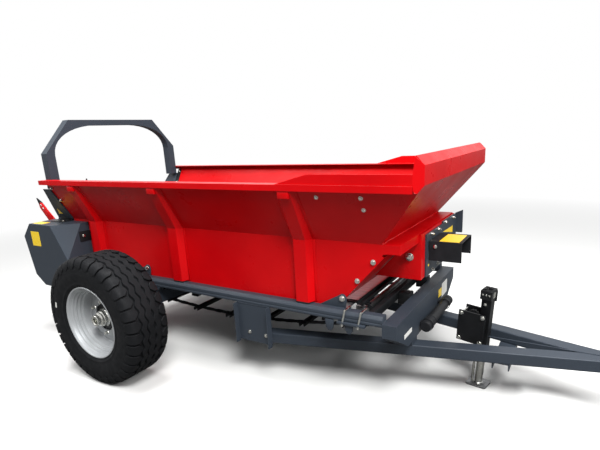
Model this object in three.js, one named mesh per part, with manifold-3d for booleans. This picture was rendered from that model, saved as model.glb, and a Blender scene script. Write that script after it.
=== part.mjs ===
// Single-axle manure spreader on its parking jack.
// Millimetres. +X forward (towards the tow eye), +Y to the machine's left, +Z up.
// Places along X below are measured from the axle; the finished group is centred on its length.
import * as THREE from 'three';
import { ConvexGeometry } from 'three/addons/geometries/ConvexGeometry.js';
import { mergeVertices } from 'three/addons/utils/BufferGeometryUtils.js';
import Module from 'manifold-3d';

const wasm = await Module();
wasm.setup();

// ---------------------------------------------------------------- driving dimensions
const GAP = 0.3;                    // between pieces that touch
const MOVING_GAP = 8;               // between pieces that move past each other
const SHEET = 3;                    // hopper sheet
const MITRE_CLEARANCE = 1;          // along Y, where the front flare meets the side flares
const PLATE = 8;                    // frame plates

// wheels: 15.3 inch implement wheels
const TYRE_RADIUS = 376;
const TYRE_WIDTH = 262;
const RIM_RADIUS = 211;             // outside of the rim flange
const RIM_WIDTH = 238;              // over the rim flanges
const TRACK = 1640;                 // between the tyres' centre planes
const HUB_RADIUS = 62;
const AXLE_BEAM = 78;               // square beam

// hopper
const HOPPER_HALF_WIDTH = 447;      // outside of the upright lower walls
const FOLD_Z = 842;                 // where the walls start to flare
const FLARE_TOP_Y = 588;            // outside of the flare, below the rim
const LIP_Z = 1094;                 // lower edge of the rim's lip
const RIM_Z = 1123;                 // top of the rim
const RIM_OUTER_Y = 608;
const RIM_INNER_Y = 546;
const RIM_REAR_X = -843;
const WALL_REAR_X = -776;           // rear edge of the side sheets
const FRONT_FOLD_X = 1545;          // front flare meets the shelf
const FRONT_WALL_TOP_Z = 782;       // the side walls' front edges turn upright here
const FRONT_WALL_FOOT_X = 1311;     // slanted front wall at the rails' top
const FLOOR_Z = 500;                // top of the hopper floor
const FLOOR_THICKNESS = 6;
const BAND_X = 1777;                // front of the upright band
const BAND_LOW_Z = 1126;            // the front flare meets the band here
const BAND_HALF_WIDTH = 582;
const CORNER_X = 1736;              // the side rims stop here, at the corner plates
const BAND_TOP_Z = 1203;
const BAND_SLANT_X = 34;            // the band's slanted top goes back this far
const BAND_SLANT_Z = 36;
const UPSTAND_Z = 1169;
const UPSTAND_START_X = 1085;
const UPSTAND_FULL_X = 1260;
const SHELF_X = 1632;               // front lip of the shelf
const SHELF_LIP = 43;

// ribs on each side
const RIB_X = [-505, 245, 1130];
const RIB_FACE = 70;
const RIB_BASE = 112;
const RIB_DEPTH = 40;
const RIB_FOOT_Z = 520;

// chassis
const RAIL_SEAT_GAP = 0.5;          // between the hopper's wall and the rail
const RAIL_WIDTH = 52;
const RAIL_TOP_Z = 512;
const RAIL_HEIGHT = 52;
const RAIL_REAR_X = -612;
const LUG_X = [-130, 1280];
const BEAM_X = 1565;                // rear face of the front beam
const BEAM_DEPTH = 70;
const BEAM_HALF_LENGTH = 508;
const BEAM_TOP_Z = 482;
const BEAM_END_Z = 415;             // lower edge at the beam's ends
const BEAM_BOTTOM_Z = 315;
const BEAM_BOTTOM_HALF = 340;
const CROSS_X = [-400, 330, 780, 1240];
const CROSS_SIZE = 50;
const BAR_Y = 210;                  // bars that carry the floor
const BAR_HALF_THICKNESS = 15;

// document tube in front of the beam
const DOCUMENT_STANDOFF = 37;
const DOCUMENT_Y = [-190, 245];
const DOCUMENT_Z = 362;
const DOCUMENT_RADIUS = 27;
const DOCUMENT_CAP_RADIUS = 30;
const DOCUMENT_CAPS = [100, 32];    // length of the screw cap and of the closed end
const DOCUMENT_STRAP_Y = [-150, 170];

// drawbar
const BAR_WIDTH = 78;
const BAR_HEIGHT = 60;
const BAR_TOP_Z = 285;
const BAR_REAR_X = 740;
const HANGER_CLEARANCE = 3.5;
// outside of the tube at its rear end, just inside the hanger's plate
const BAR_REAR_Y = HOPPER_HALF_WIDTH + RAIL_SEAT_GAP + RAIL_WIDTH - PLATE - HANGER_CLEARANCE;
const BAR_NOSE_X = 2570;
const BAR_NOSE_Y = 26.84;           // outside of the tube at its front end
const BAR_SLOPE = (BAR_REAR_Y - BAR_NOSE_Y) / (BAR_NOSE_X - BAR_REAR_X);
const EYE_X = 2720;
const EYE_RADIUS = 56;
const EYE_HOLE_RADIUS = 26;
const EYE_THICKNESS = 32;
const HANGER_X = [704, 928];
const HANGER_BOTTOM_Z = 240;
const HANGER_FLANGE = 30;

// jack: it leans forward and is turned like the left drawbar tube
// along it, S runs forward, T to the left and H up its tube
const JACK_X = 1904;                // where its axis meets the ground
const JACK_Y = 10;
const JACK_LEAN = 3.6;              // degrees
const JACK_YAW = -10.4;
const JACK_TUBE = 50;
const JACK_WALL = 4;
const JACK_TUBE_H = [190, 494];
const JACK_CAP_S = [-30, 27];
const JACK_CAP_HALF_T = 39;
const JACK_CAP_H = [492, 540];
const JACK_LEG_CLEARANCE = 1;
const JACK_LEG_RADIUS = JACK_TUBE / 2 - JACK_WALL - JACK_LEG_CLEARANCE;
const JACK_LEG_TOP = 300;
const JACK_FOOT = [108, 94];
const JACK_FOOT_THICKNESS = 8;
const JACK_PLATE_S = [-128, 11];
const JACK_PLATE_H = [240, 409];
const JACK_NEAR_T = -46;            // outside of the near clamp plate
const JACK_FAR_T = 56;              // outside of the far one

// beater
const BEATER_X = -975;
const BEATER_Z = 700;
const BEATER_RADIUS = 392;
const BEATER_SIDE_CLEARANCE = 9;    // to the rear side plates
const BEATER_HALF_LENGTH = HOPPER_HALF_WIDTH - PLATE - BEATER_SIDE_CLEARANCE;
const BEATER_TUBE_RADIUS = 82;
const BEATER_STATIONS = 8;
const BEATER_END_MARGIN = 6;
const BLADE_START = 137;            // degrees, at the first station
const BLADE_STEP = -24;
const BLADE_THICKNESS = 10;

// rear frame
const ARCH_DEPTH = 62;
const ARCH_WIDTH = 60;
const ARCH_TOP_THICKNESS = 38;
const ARCH_TOP_Z = 1510;
const ARCH_SHOULDER_Z = 1294;
const ARCH_HALF_WIDTH = 555;
const ARCH_TOP_HALF = 361;
const ARCH_FRONT_X = -777;
const SIDE_PLATE_REAR = [[-872, LIP_Z], [-965, FOLD_Z], [-1060, 600], [-1020, 430], [-930, 384]];

// side guards
const GUARD_X = [-1103, -614];
const GUARD_Z = [384, 827];
const GUARD_OUTER_Y = 640;
const GUARD_SHEET = 4;
const GUARD_CORNER = [143, 135, 234];

// conveyor
const CHAIN_MARGIN = 97;            // from the hopper wall's outside to a chain's middle
const CHAIN_Y = HOPPER_HALF_WIDTH - CHAIN_MARGIN;
const CHAIN_WIDTH = 26;
const CHAIN_THICKNESS = 14;
const SPROCKET_RADIUS = 48;
const CONVEYOR_REAR_X = -540;
const CONVEYOR_FRONT_X = 1400;
const CHAIN_TOP_Z = 516;            // top of the upper run
const CHAIN_SAG = 95;
const SLAT_STEP = 260;
const SLAT_SIZE = [36, 20];

// gearbox and drive
const HOUSING_X = 1645;
const HOUSING_Y = [-190, HOPPER_HALF_WIDTH - 7];
const HOUSING_BOTTOM_Z = 608;
const DRIVE_PLATE_Y = [-133, 456];
const DRIVE_PLATE_Z = [608, 828];
const DRIVE_STEP_Y = 165;           // the plate's top edge is higher to the left of this
const DRIVE_STEP = 11;
const DRIVE_NOTCH = [36, 16];
const WING_REACH = 45;
const WING_Z = [720, 837, 857];     // foot, top at the plate, top at its front
const HOOD_LENGTH = 162;
const HOOD_HALF_WIDTH = 104;
const HOOD_TOP_Z = 790;
const HOOD_HEIGHT = 100;
const PTO_Z = 735;

const TURNED_SEGMENTS = 40;

// ---------------------------------------------------------------- helpers
function bare(geometry) {
  const copy = geometry.clone();
  copy.deleteAttribute('normal');
  copy.deleteAttribute('uv');
  return mergeVertices(copy, 1e-4);
}

function toSolid(geometry) {
  const merged = bare(geometry);
  return new wasm.Manifold(new wasm.Mesh({
    numProp: 3,
    vertProperties: new Float32Array(merged.attributes.position.array),
    triVerts: new Uint32Array(merged.index.array),
  }));
}

function toGeometry(solid) {
  const mesh = solid.getMesh();
  const geometry = new THREE.BufferGeometry();
  geometry.setAttribute('position', new THREE.BufferAttribute(new Float32Array(mesh.vertProperties), 3));
  geometry.setIndex(new THREE.BufferAttribute(new Uint32Array(mesh.triVerts), 1));
  return geometry;
}

function join(...geometries) {
  return toGeometry(geometries.map(toSolid).reduce((all, next) => all.add(next)));
}

function cut(geometry, ...tools) {
  return toGeometry(tools.map(toSolid).reduce((left, tool) => left.subtract(tool), toSolid(geometry)));
}

function mirrored(geometry) {
  const copy = bare(geometry);
  copy.scale(1, -1, 1);
  const index = copy.index.array;
  for (let i = 0; i < index.length; i += 3) {
    [index[i], index[i + 1]] = [index[i + 1], index[i]];
  }
  return copy;
}

function block([x0, x1], [y0, y1], [z0, z1]) {
  const box = new THREE.BoxGeometry(x1 - x0, y1 - y0, z1 - z0);
  return box.translate((x0 + x1) / 2, (y0 + y1) / 2, (z0 + z1) / 2);
}

// a closed outline that runs anticlockwise, so that holes cut in it turn the right way
function outline(points) {
  const corners = points.map(([a, b]) => new THREE.Vector2(a, b));
  return new THREE.Shape(THREE.ShapeUtils.isClockWise(corners) ? corners.reverse() : corners);
}

// a shape drawn in the plane across an axis, extruded along that axis
function prism(shape, axis, from, to, curveSegments = 12) {
  const geometry = new THREE.ExtrudeGeometry(shape, { depth: to - from, bevelEnabled: false, curveSegments });
  const basis = new THREE.Matrix4();
  if (axis === 'x') {
    basis.makeBasis(new THREE.Vector3(0, 1, 0), new THREE.Vector3(0, 0, 1), new THREE.Vector3(1, 0, 0));
    return geometry.applyMatrix4(basis).translate(from, 0, 0);
  }
  if (axis === 'y') {
    basis.makeBasis(new THREE.Vector3(1, 0, 0), new THREE.Vector3(0, 0, 1), new THREE.Vector3(0, -1, 0));
    return geometry.applyMatrix4(basis).translate(0, to, 0);
  }
  return geometry.translate(0, 0, from);
}

function rod(radius, start, end, segments = 24) {
  const a = new THREE.Vector3(...start);
  const b = new THREE.Vector3(...end);
  const cylinder = new THREE.CylinderGeometry(radius, radius, a.distanceTo(b), segments);
  const turn = new THREE.Quaternion().setFromUnitVectors(
    new THREE.Vector3(0, 1, 0), b.clone().sub(a).normalize());
  const middle = a.clone().add(b).multiplyScalar(0.5);
  return cylinder.applyQuaternion(turn).translate(middle.x, middle.y, middle.z);
}

function hull(points) {
  return new ConvexGeometry(points.map((point) => new THREE.Vector3(...point)));
}

// a closed profile of [radius, y] turned about the Y axis
// its facets stand flat on the ground and touch the stated radii at their middles
function turned(profile, segments = TURNED_SEGMENTS) {
  const widen = 1 / Math.cos(Math.PI / segments);
  const points = profile.map(([r, y]) => new THREE.Vector2(r * widen, y));
  const ordered = THREE.ShapeUtils.isClockWise(points) ? points.reverse() : points;
  return new THREE.LatheGeometry(ordered, segments, Math.PI / segments);
}

function meet(a, b) {
  return toGeometry(toSolid(a).intersect(toSolid(b)));
}

const COLOURS = {
  red: [0xc4060c, 0.25, 0.1],
  grey: [0x2b3138, 0.45, 0.2],
  black: [0x141516, 0.5, 0.1],
  rubber: [0x1b1b1c, 0.85, 0],
  silver: [0xb9bcc0, 0.35, 0.8],
  steel: [0x8d8f92, 0.3, 0.9],
};
const materials = Object.fromEntries(Object.entries(COLOURS).map(([name, [color, roughness, metalness]]) =>
  [name, new THREE.MeshStandardMaterial({ name, color, roughness, metalness })]));

const group = new THREE.Group();

function add(name, geometry, material) {
  const mesh = new THREE.Mesh(geometry, materials[material]);
  mesh.name = name;
  group.add(mesh);
}

// builds the left-hand piece, and its mirror image on the right
function addPair(name, geometry, material) {
  add(`${name}_left`, geometry, material);
  add(`${name}_right`, mirrored(geometry), material);
}

// ---------------------------------------------------------------- hopper
const FLARE_RISE = LIP_Z - FOLD_Z;
const FLARE_OUT = (FLARE_TOP_Y - HOPPER_HALF_WIDTH) / FLARE_RISE;
const FRONT_OUT = (BAND_X - FRONT_FOLD_X) / (BAND_LOW_Z - FOLD_Z);
const SIDE_SKIN = SHEET * Math.hypot(1, FLARE_OUT);      // flare sheet, measured along Y
const FRONT_SKIN = SHEET * Math.hypot(1, FRONT_OUT);     // front flare sheet, measured along X
const FRONT_WALL_SLOPE = (FRONT_FOLD_X + 11 - FRONT_WALL_FOOT_X) / (FRONT_WALL_TOP_Z - RAIL_TOP_Z);

function flareY(z) {
  return HOPPER_HALF_WIDTH + (z - FOLD_Z) * FLARE_OUT;
}

function frontX(z) {
  return FRONT_FOLD_X + (z - FOLD_Z) * FRONT_OUT;
}

function frontWallX(z) {
  return FRONT_WALL_FOOT_X + (z - RAIL_TOP_Z) * FRONT_WALL_SLOPE;
}

function hopperSide() {
  const foot = FLOOR_Z - FLOOR_THICKNESS;
  const lower = prism(outline([
    [WALL_REAR_X, foot], [frontWallX(foot), foot], [frontWallX(FRONT_WALL_TOP_Z), FRONT_WALL_TOP_Z],
    [FRONT_FOLD_X, FRONT_WALL_TOP_Z], [FRONT_FOLD_X, FOLD_Z + 1], [WALL_REAR_X, FOLD_Z + 1],
  ]), 'y', HOPPER_HALF_WIDTH - SHEET, HOPPER_HALF_WIDTH);
  const sheetBetween = (z0, z1, front) => hull([z0, z1].flatMap((z) => [0, SIDE_SKIN].flatMap((inset) => [
    [WALL_REAR_X, flareY(z) - inset, z],
    [Math.min(frontX(z) - inset * FRONT_OUT / FLARE_OUT, front), flareY(z) - inset, z],
  ])));
  const flare = sheetBetween(FOLD_Z, LIP_Z, BAND_X);
  const flareTop = sheetBetween(LIP_Z - 1, RIM_Z - SHEET / 2, CORNER_X);
  const flange = block([RIM_REAR_X, CORNER_X], [RIM_INNER_Y, RIM_OUTER_Y], [RIM_Z - SHEET, RIM_Z]);
  const lip = block([RIM_REAR_X, CORNER_X], [RIM_OUTER_Y - SHEET, RIM_OUTER_Y], [LIP_Z, RIM_Z - 1]);
  return join(lower, flare, flareTop, flange, lip, ...RIB_X.map(rib));
}

function rib(x) {
  const base = RIB_BASE / 2;
  const face = RIB_FACE / 2;
  const section = (y, z, dy) => [
    [x - base, y - 1, z], [x + base, y - 1, z], [x - face, y + dy, z], [x + face, y + dy, z]];
  const lower = hull([...section(HOPPER_HALF_WIDTH, RIB_FOOT_Z, RIB_DEPTH),
    ...section(HOPPER_HALF_WIDTH, FOLD_Z, RIB_DEPTH)]);
  const top = LIP_Z - 1;
  const reach = (RIM_OUTER_Y - SHEET - GAP) - flareY(top);
  const upper = hull([...section(flareY(FOLD_Z), FOLD_Z, RIB_DEPTH), ...section(flareY(top), top, reach)]);
  return join(lower, upper);
}

function hopperFront() {
  const low = FOLD_Z + SHEET + GAP;
  const edgeY = (z, inset) => flareY(z) - MITRE_CLEARANCE - inset * FLARE_OUT / FRONT_OUT;
  const levels = [[low, (inset) => edgeY(low, inset)], [LIP_Z, (inset) => edgeY(LIP_Z, inset)],
    [BAND_LOW_Z, () => BAND_HALF_WIDTH]];
  const flare = hull(levels.flatMap(([z, halfWidth]) => [0, FRONT_SKIN].flatMap((inset) =>
    [1, -1].map((side) => [frontX(z) - inset, side * halfWidth(inset), z]))));
  const across = [-BAND_HALF_WIDTH, BAND_HALF_WIDTH];
  const band = block([BAND_X - SHEET, BAND_X], across, [BAND_LOW_Z - 1, BAND_TOP_Z]);
  const slant = prism(outline([
    [BAND_X - SHEET, BAND_TOP_Z - 1], [BAND_X, BAND_TOP_Z - 1],
    [BAND_X - BAND_SLANT_X, BAND_TOP_Z + BAND_SLANT_Z], [BAND_X - BAND_SLANT_X - SHEET, BAND_TOP_Z + BAND_SLANT_Z],
  ]), 'y', ...across);
  return join(flare, band, slant);
}

// upright plate along the rim, bent in to close the front corner
function upstand() {
  const outer = RIM_OUTER_Y - 5;
  const bandEnd = BAND_HALF_WIDTH + GAP;
  const top = BAND_TOP_Z + BAND_SLANT_Z - 2;
  const strip = prism(outline([
    [UPSTAND_START_X - 1, outer], [CORNER_X, outer], [BAND_X, bandEnd + SHEET], [BAND_X, bandEnd],
    [CORNER_X - 1, outer - SHEET], [UPSTAND_START_X - 1, outer - SHEET],
  ]), 'z', LIP_Z - 1, top + 1);
  const side = prism(outline([
    [UPSTAND_START_X, RIM_Z + GAP], [CORNER_X + GAP, RIM_Z + GAP], [CORNER_X + GAP, LIP_Z + 12],
    [CORNER_X + 14, LIP_Z], [BAND_X + 1, BAND_LOW_Z], [BAND_X + 1, BAND_TOP_Z],
    [BAND_X - BAND_SLANT_X, top], [CORNER_X, UPSTAND_Z], [UPSTAND_FULL_X, UPSTAND_Z],
  ]), 'y', bandEnd - 10, outer + 10);
  return meet(strip, side);
}

// slanted lower front wall, folded into the shelf and its lip
function hopperFrontWall() {
  const half = HOPPER_HALF_WIDTH - SHEET - GAP;
  const skin = SHEET * Math.hypot(1, FRONT_WALL_SLOPE);
  const foot = CHAIN_TOP_Z + SLAT_SIZE[1] + MOVING_GAP;
  const wall = prism(outline([
    [frontWallX(foot) - skin - 2, foot], [frontWallX(foot) - 2, foot],
    [frontWallX(FRONT_WALL_TOP_Z) - 2, FRONT_WALL_TOP_Z], [FRONT_FOLD_X - GAP, FRONT_WALL_TOP_Z],
    [FRONT_FOLD_X - GAP, FOLD_Z], [FRONT_FOLD_X - GAP - SHEET, FOLD_Z],
    [FRONT_FOLD_X - GAP - SHEET, FRONT_WALL_TOP_Z],
  ]), 'y', -half, half);
  return wall;
}

function shelf() {
  const half = HOPPER_HALF_WIDTH;
  const top = block([FRONT_FOLD_X + GAP, SHELF_X], [-half, half], [FOLD_Z - SHEET, FOLD_Z]);
  const lip = block([SHELF_X - SHEET, SHELF_X], [-half, half], [FOLD_Z - SHELF_LIP, FOLD_Z - 1]);
  const ends = [1, -1].map((side) => prism(outline([
    [FRONT_FOLD_X + GAP, FRONT_WALL_TOP_Z + 12], [FRONT_FOLD_X + 30, FOLD_Z - SHELF_LIP],
    [SHELF_X - 1, FOLD_Z - SHELF_LIP], [SHELF_X - 1, FOLD_Z - 1], [FRONT_FOLD_X + GAP, FOLD_Z - 1],
  ]), 'y', side > 0 ? half - SHEET : -half, side > 0 ? half : -half + SHEET));
  return join(top, lip, ...ends);
}

function hopperFloor() {
  const half = HOPPER_HALF_WIDTH - SHEET - GAP;
  return block([CONVEYOR_REAR_X + SPROCKET_RADIUS, CONVEYOR_FRONT_X - SPROCKET_RADIUS], [-half, half],
    [FLOOR_Z - FLOOR_THICKNESS, FLOOR_Z]);
}

// ---------------------------------------------------------------- conveyor
const SPROCKET_Z = CHAIN_TOP_Z - CHAIN_THICKNESS - SPROCKET_RADIUS;

// centre-line offset outline of the endless chain, at a distance from the sprockets' pitch
function chainLoop(radius) {
  const shape = [];
  const steps = 10;
  for (let i = 0; i <= steps; i += 1) {
    const angle = Math.PI / 2 - Math.PI * i / steps;
    shape.push([CONVEYOR_FRONT_X + radius * Math.cos(angle), SPROCKET_Z + radius * Math.sin(angle)]);
  }
  const length = CONVEYOR_FRONT_X - CONVEYOR_REAR_X;
  const spans = 24;
  for (let i = 1; i < spans; i += 1) {
    const t = i / spans;
    const sag = CHAIN_SAG * 4 * t * (1 - t);
    shape.push([CONVEYOR_FRONT_X - length * t, SPROCKET_Z - radius - sag]);
  }
  for (let i = 0; i <= steps; i += 1) {
    const angle = -Math.PI / 2 - Math.PI * i / steps;
    shape.push([CONVEYOR_REAR_X + radius * Math.cos(angle), SPROCKET_Z + radius * Math.sin(angle)]);
  }
  return shape;
}

function conveyor() {
  const ring = outline(chainLoop(SPROCKET_RADIUS + CHAIN_THICKNESS));
  ring.holes.push(new THREE.Path(chainLoop(SPROCKET_RADIUS).map(([x, z]) => new THREE.Vector2(x, z))));
  const chains = [1, -1].map((side) =>
    prism(ring, 'y', side * CHAIN_Y - CHAIN_WIDTH / 2, side * CHAIN_Y + CHAIN_WIDTH / 2));
  const reach = CHAIN_Y + CHAIN_WIDTH / 2 + 20;
  const [slatWidth, slatHeight] = SLAT_SIZE;
  const slats = [];
  const length = CONVEYOR_FRONT_X - CONVEYOR_REAR_X;
  for (let x = CONVEYOR_REAR_X + SLAT_STEP / 2; x < CONVEYOR_FRONT_X; x += SLAT_STEP) {
    const topZ = CHAIN_TOP_Z - 2;
    slats.push(block([x - slatWidth / 2, x + slatWidth / 2], [-reach, reach], [topZ, topZ + slatHeight]));
    const t = (CONVEYOR_FRONT_X - x) / length;
    const lowZ = SPROCKET_Z - SPROCKET_RADIUS - CHAIN_THICKNESS - CHAIN_SAG * 4 * t * (1 - t) + 6;
    slats.push(block([x - slatWidth / 2, x + slatWidth / 2], [-reach, reach], [lowZ - slatHeight, lowZ]));
  }
  return join(...chains, ...slats);
}

function conveyorShaft(x) {
  const half = RAIL_INNER_Y - GAP;
  const sprockets = [1, -1].map((side) => rod(SPROCKET_RADIUS - GAP,
    [x, side * CHAIN_Y - 9, SPROCKET_Z], [x, side * CHAIN_Y + 9, SPROCKET_Z], 20));
  return join(rod(22, [x, -half, SPROCKET_Z], [x, half, SPROCKET_Z], 16), ...sprockets);
}

// ---------------------------------------------------------------- chassis
const RAIL_INNER_Y = HOPPER_HALF_WIDTH + RAIL_SEAT_GAP;
const RAIL_OUTER_Y = RAIL_INNER_Y + RAIL_WIDTH;
const RAIL_BOTTOM_Z = RAIL_TOP_Z - RAIL_HEIGHT;
const AXLE_Z = TYRE_RADIUS;

function rail() {
  const wall = 5;
  const outer = block([RAIL_REAR_X, BEAM_X - GAP], [RAIL_INNER_Y, RAIL_OUTER_Y], [RAIL_BOTTOM_Z, RAIL_TOP_Z]);
  const inner = block([RAIL_REAR_X - 1, BEAM_X + 1], [RAIL_INNER_Y + wall, RAIL_OUTER_Y - wall],
    [RAIL_BOTTOM_Z + wall, RAIL_TOP_Z - wall]);
  return join(cut(outer, inner), hopperLug(LUG_X[0], -1), hopperLug(LUG_X[1], 1));
}

// plate on the rail that the hopper's wall is bolted to, leaning one way along the rail
function hopperLug(x, lean) {
  const foot = RAIL_TOP_Z - 1;
  const shape = outline([
    [x - lean * 70, foot], [x + lean * 70, foot], [x + lean * 75, RAIL_TOP_Z + 55], [x + lean * 62, RAIL_TOP_Z + 78],
    [x + lean * 34, RAIL_TOP_Z + 78],
  ]);
  return prism(shape, 'y', RAIL_INNER_Y, RAIL_INNER_Y + PLATE);
}

// cross members under the floor, with two bars along them that carry it
function floorFrame() {
  const half = RAIL_INNER_Y - GAP;
  const low = RAIL_BOTTOM_Z - 40;
  const top = FLOOR_Z - FLOOR_THICKNESS - GAP;
  const beams = CROSS_X.map((x) => block([x - CROSS_SIZE / 2, x + CROSS_SIZE / 2], [-half, half],
    [low, low + CROSS_SIZE]));
  const first = CROSS_X[0] - CROSS_SIZE;
  const last = CROSS_X[CROSS_X.length - 1] + CROSS_SIZE;
  const bars = [1, -1].map((side) => block([first, last],
    [side * BAR_Y - BAR_HALF_THICKNESS, side * BAR_Y + BAR_HALF_THICKNESS], [low + CROSS_SIZE - 1, top]));
  return join(...beams, ...bars);
}

function frontBeam() {
  const y = BEAM_HALF_LENGTH;
  const low = BEAM_BOTTOM_HALF;
  const section = outline([
    [-low, BEAM_BOTTOM_Z], [low, BEAM_BOTTOM_Z], [y, BEAM_END_Z], [y, BEAM_TOP_Z], [-y, BEAM_TOP_Z],
    [-y, BEAM_END_Z],
  ]);
  const beam = prism(section, 'x', BEAM_X, BEAM_X + BEAM_DEPTH);
  const barMiddle = barY(BEAM_X + BEAM_DEPTH / 2) - BAR_WIDTH / 2;
  const saddles = [1, -1].map((side) => block([BEAM_X + 4, BEAM_X + BEAM_DEPTH - 4],
    [side * barMiddle - 36, side * barMiddle + 36], [BAR_TOP_Z + GAP, BEAM_BOTTOM_Z + 1]));
  return join(beam, ...saddles);
}

function documentTube() {
  const x = BEAM_X + BEAM_DEPTH + DOCUMENT_STANDOFF;
  const z = DOCUMENT_Z;
  const [y0, y1] = DOCUMENT_Y;
  const barrel = rod(DOCUMENT_RADIUS, [x, y0 + 2, z], [x, y1 - 2, z], 20);
  const [screw, end] = DOCUMENT_CAPS;
  const caps = [[y0, y0 + screw], [y1 - end, y1]].map(([a, b]) =>
    rod(DOCUMENT_CAP_RADIUS, [x, a, z], [x, b, z], 20));
  const straps = DOCUMENT_STRAP_Y.map((y) =>
    block([BEAM_X + BEAM_DEPTH + GAP, x], [y - 15, y + 15], [z - 10, z + 10]));
  return join(barrel, ...caps, ...straps);
}

function hangerBracket() {
  const [x0, x1] = HANGER_X;
  const plate = block([x0, x1], [RAIL_OUTER_Y - PLATE, RAIL_OUTER_Y], [HANGER_BOTTOM_Z, RAIL_BOTTOM_Z - GAP]);
  const flanges = [[x0, x0 + 6], [x1 - 6, x1]].map((span) => block(span,
    [RAIL_OUTER_Y - 1, RAIL_OUTER_Y + HANGER_FLANGE], [HANGER_BOTTOM_Z - 10, RAIL_BOTTOM_Z - GAP]));
  return join(plate, ...flanges);
}

function barY(x) {
  return BAR_REAR_Y - (x - BAR_REAR_X) * BAR_SLOPE;
}

function drawbar() {
  const skew = BAR_WIDTH * Math.hypot(1, BAR_SLOPE);
  const meetX = BAR_REAR_X + (BAR_REAR_Y - skew) / BAR_SLOPE;
  const points = [
    [BAR_REAR_X, BAR_REAR_Y], [BAR_REAR_X, BAR_REAR_Y - skew], [meetX, GAP], [BAR_NOSE_X, GAP],
    [BAR_NOSE_X, barY(BAR_NOSE_X)],
  ];
  return prism(outline(points), 'z', BAR_TOP_Z - BAR_HEIGHT, BAR_TOP_Z);
}

function crossPlate() {
  const x = 2030;
  const top = BAR_TOP_Z - BAR_HEIGHT - GAP;
  const half = barY(x) - 10;
  const web = block([x - 40, x + 40], [-half, half], [top - 6, top]);
  const flanges = [[x - 40, x - 34], [x + 34, x + 40]].map((span) => block(span, [-half, half], [top - 36, top - 1]));
  return join(web, ...flanges);
}

function towEye() {
  const z = BAR_TOP_Z - BAR_HEIGHT / 2;
  const shape = outline([[BAR_NOSE_X + GAP, -28], [EYE_X, -EYE_RADIUS + 4], [EYE_X, EYE_RADIUS - 4],
    [BAR_NOSE_X + GAP, 28]]);
  const shank = prism(shape, 'z', z - EYE_THICKNESS / 2, z + EYE_THICKNESS / 2);
  const ring = rod(EYE_RADIUS, [EYE_X, 0, z - EYE_THICKNESS / 2], [EYE_X, 0, z + EYE_THICKNESS / 2], 32);
  const flange = block([BAR_NOSE_X + GAP, BAR_NOSE_X + 18], [-46, 46], [z - 44, z + 44]);
  const hole = rod(EYE_HOLE_RADIUS, [EYE_X, 0, z - 40], [EYE_X, 0, z + 40], 32);
  return cut(join(shank, ring, flange), hole);
}

// ---------------------------------------------------------------- jack
function onJack(geometry) {
  return geometry.rotateY(THREE.MathUtils.degToRad(JACK_LEAN)).rotateZ(THREE.MathUtils.degToRad(JACK_YAW))
    .translate(JACK_X, JACK_Y, 0);
}

// a place beside the jack, given along its own directions
function jackPlace(s, t, h) {
  const place = new THREE.BufferGeometry().setFromPoints([new THREE.Vector3(s, t, h)]);
  return [...onJack(place).attributes.position.array];
}

// two clamp plates beside the tube, the blocks between them and the bracket on the left drawbar tube
function jackMount() {
  const half = JACK_TUBE / 2 + GAP;
  const near = JACK_NEAR_T + PLATE;
  const far = JACK_FAR_T - PLATE;
  const [s0, s1] = JACK_PLATE_S;
  const [h0] = JACK_PLATE_H;
  const plates = [[JACK_NEAR_T, near], [far, JACK_FAR_T]].map((span) => block(JACK_PLATE_S, span, JACK_PLATE_H));
  const collars = [[near - 1, -half], [half, far + 1]].map((span) =>
    block([-JACK_TUBE / 2, s1], span, [h0 + 25, h0 + 140]));
  const spacer = block([s0 + 18, s0 + 68], [near - 1, far + 1], [h0 + 40, h0 + 100]);
  const bracket = [];
  for (const s of [s0 + 24, s1 - 24]) {
    for (const h of [h0 + 2, h0 + 50]) {
      const [x, y, z] = jackPlace(s, JACK_FAR_T - 1, h);
      const tubeFace = barY(x) - BAR_WIDTH * Math.hypot(1, BAR_SLOPE) - GAP;
      bracket.push([x, y, z], [x, tubeFace, z - 16]);
    }
  }
  return join(onJack(join(spacer, ...plates, ...collars)), hull(bracket));
}

function jackTube() {
  const half = JACK_TUBE / 2;
  const bore = half - JACK_WALL;
  const [h0, h1] = JACK_TUBE_H;
  const tube = cut(block([-half, half], [-half, half], JACK_TUBE_H),
    block([-bore, bore], [-bore, bore], [h0 - 1, h1 - JACK_WALL]));
  const cap = block(JACK_CAP_S, [-JACK_CAP_HALF_T, JACK_CAP_HALF_T], JACK_CAP_H);
  return onJack(join(tube, cap));
}

function jackLeg() {
  const leg = onJack(rod(JACK_LEG_RADIUS, [0, 0, JACK_FOOT_THICKNESS - 1], [0, 0, JACK_LEG_TOP], 24));
  const [length, width] = JACK_FOOT;
  const foot = block([-length / 2, length / 2], [-width / 2, width / 2], [0, JACK_FOOT_THICKNESS]);
  foot.rotateZ(THREE.MathUtils.degToRad(JACK_YAW)).translate(JACK_X, JACK_Y, 0);
  return join(leg, foot);
}

// ---------------------------------------------------------------- running gear
const WHEEL_Y = TRACK / 2;
const SPINDLE_RADIUS = 32;

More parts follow.
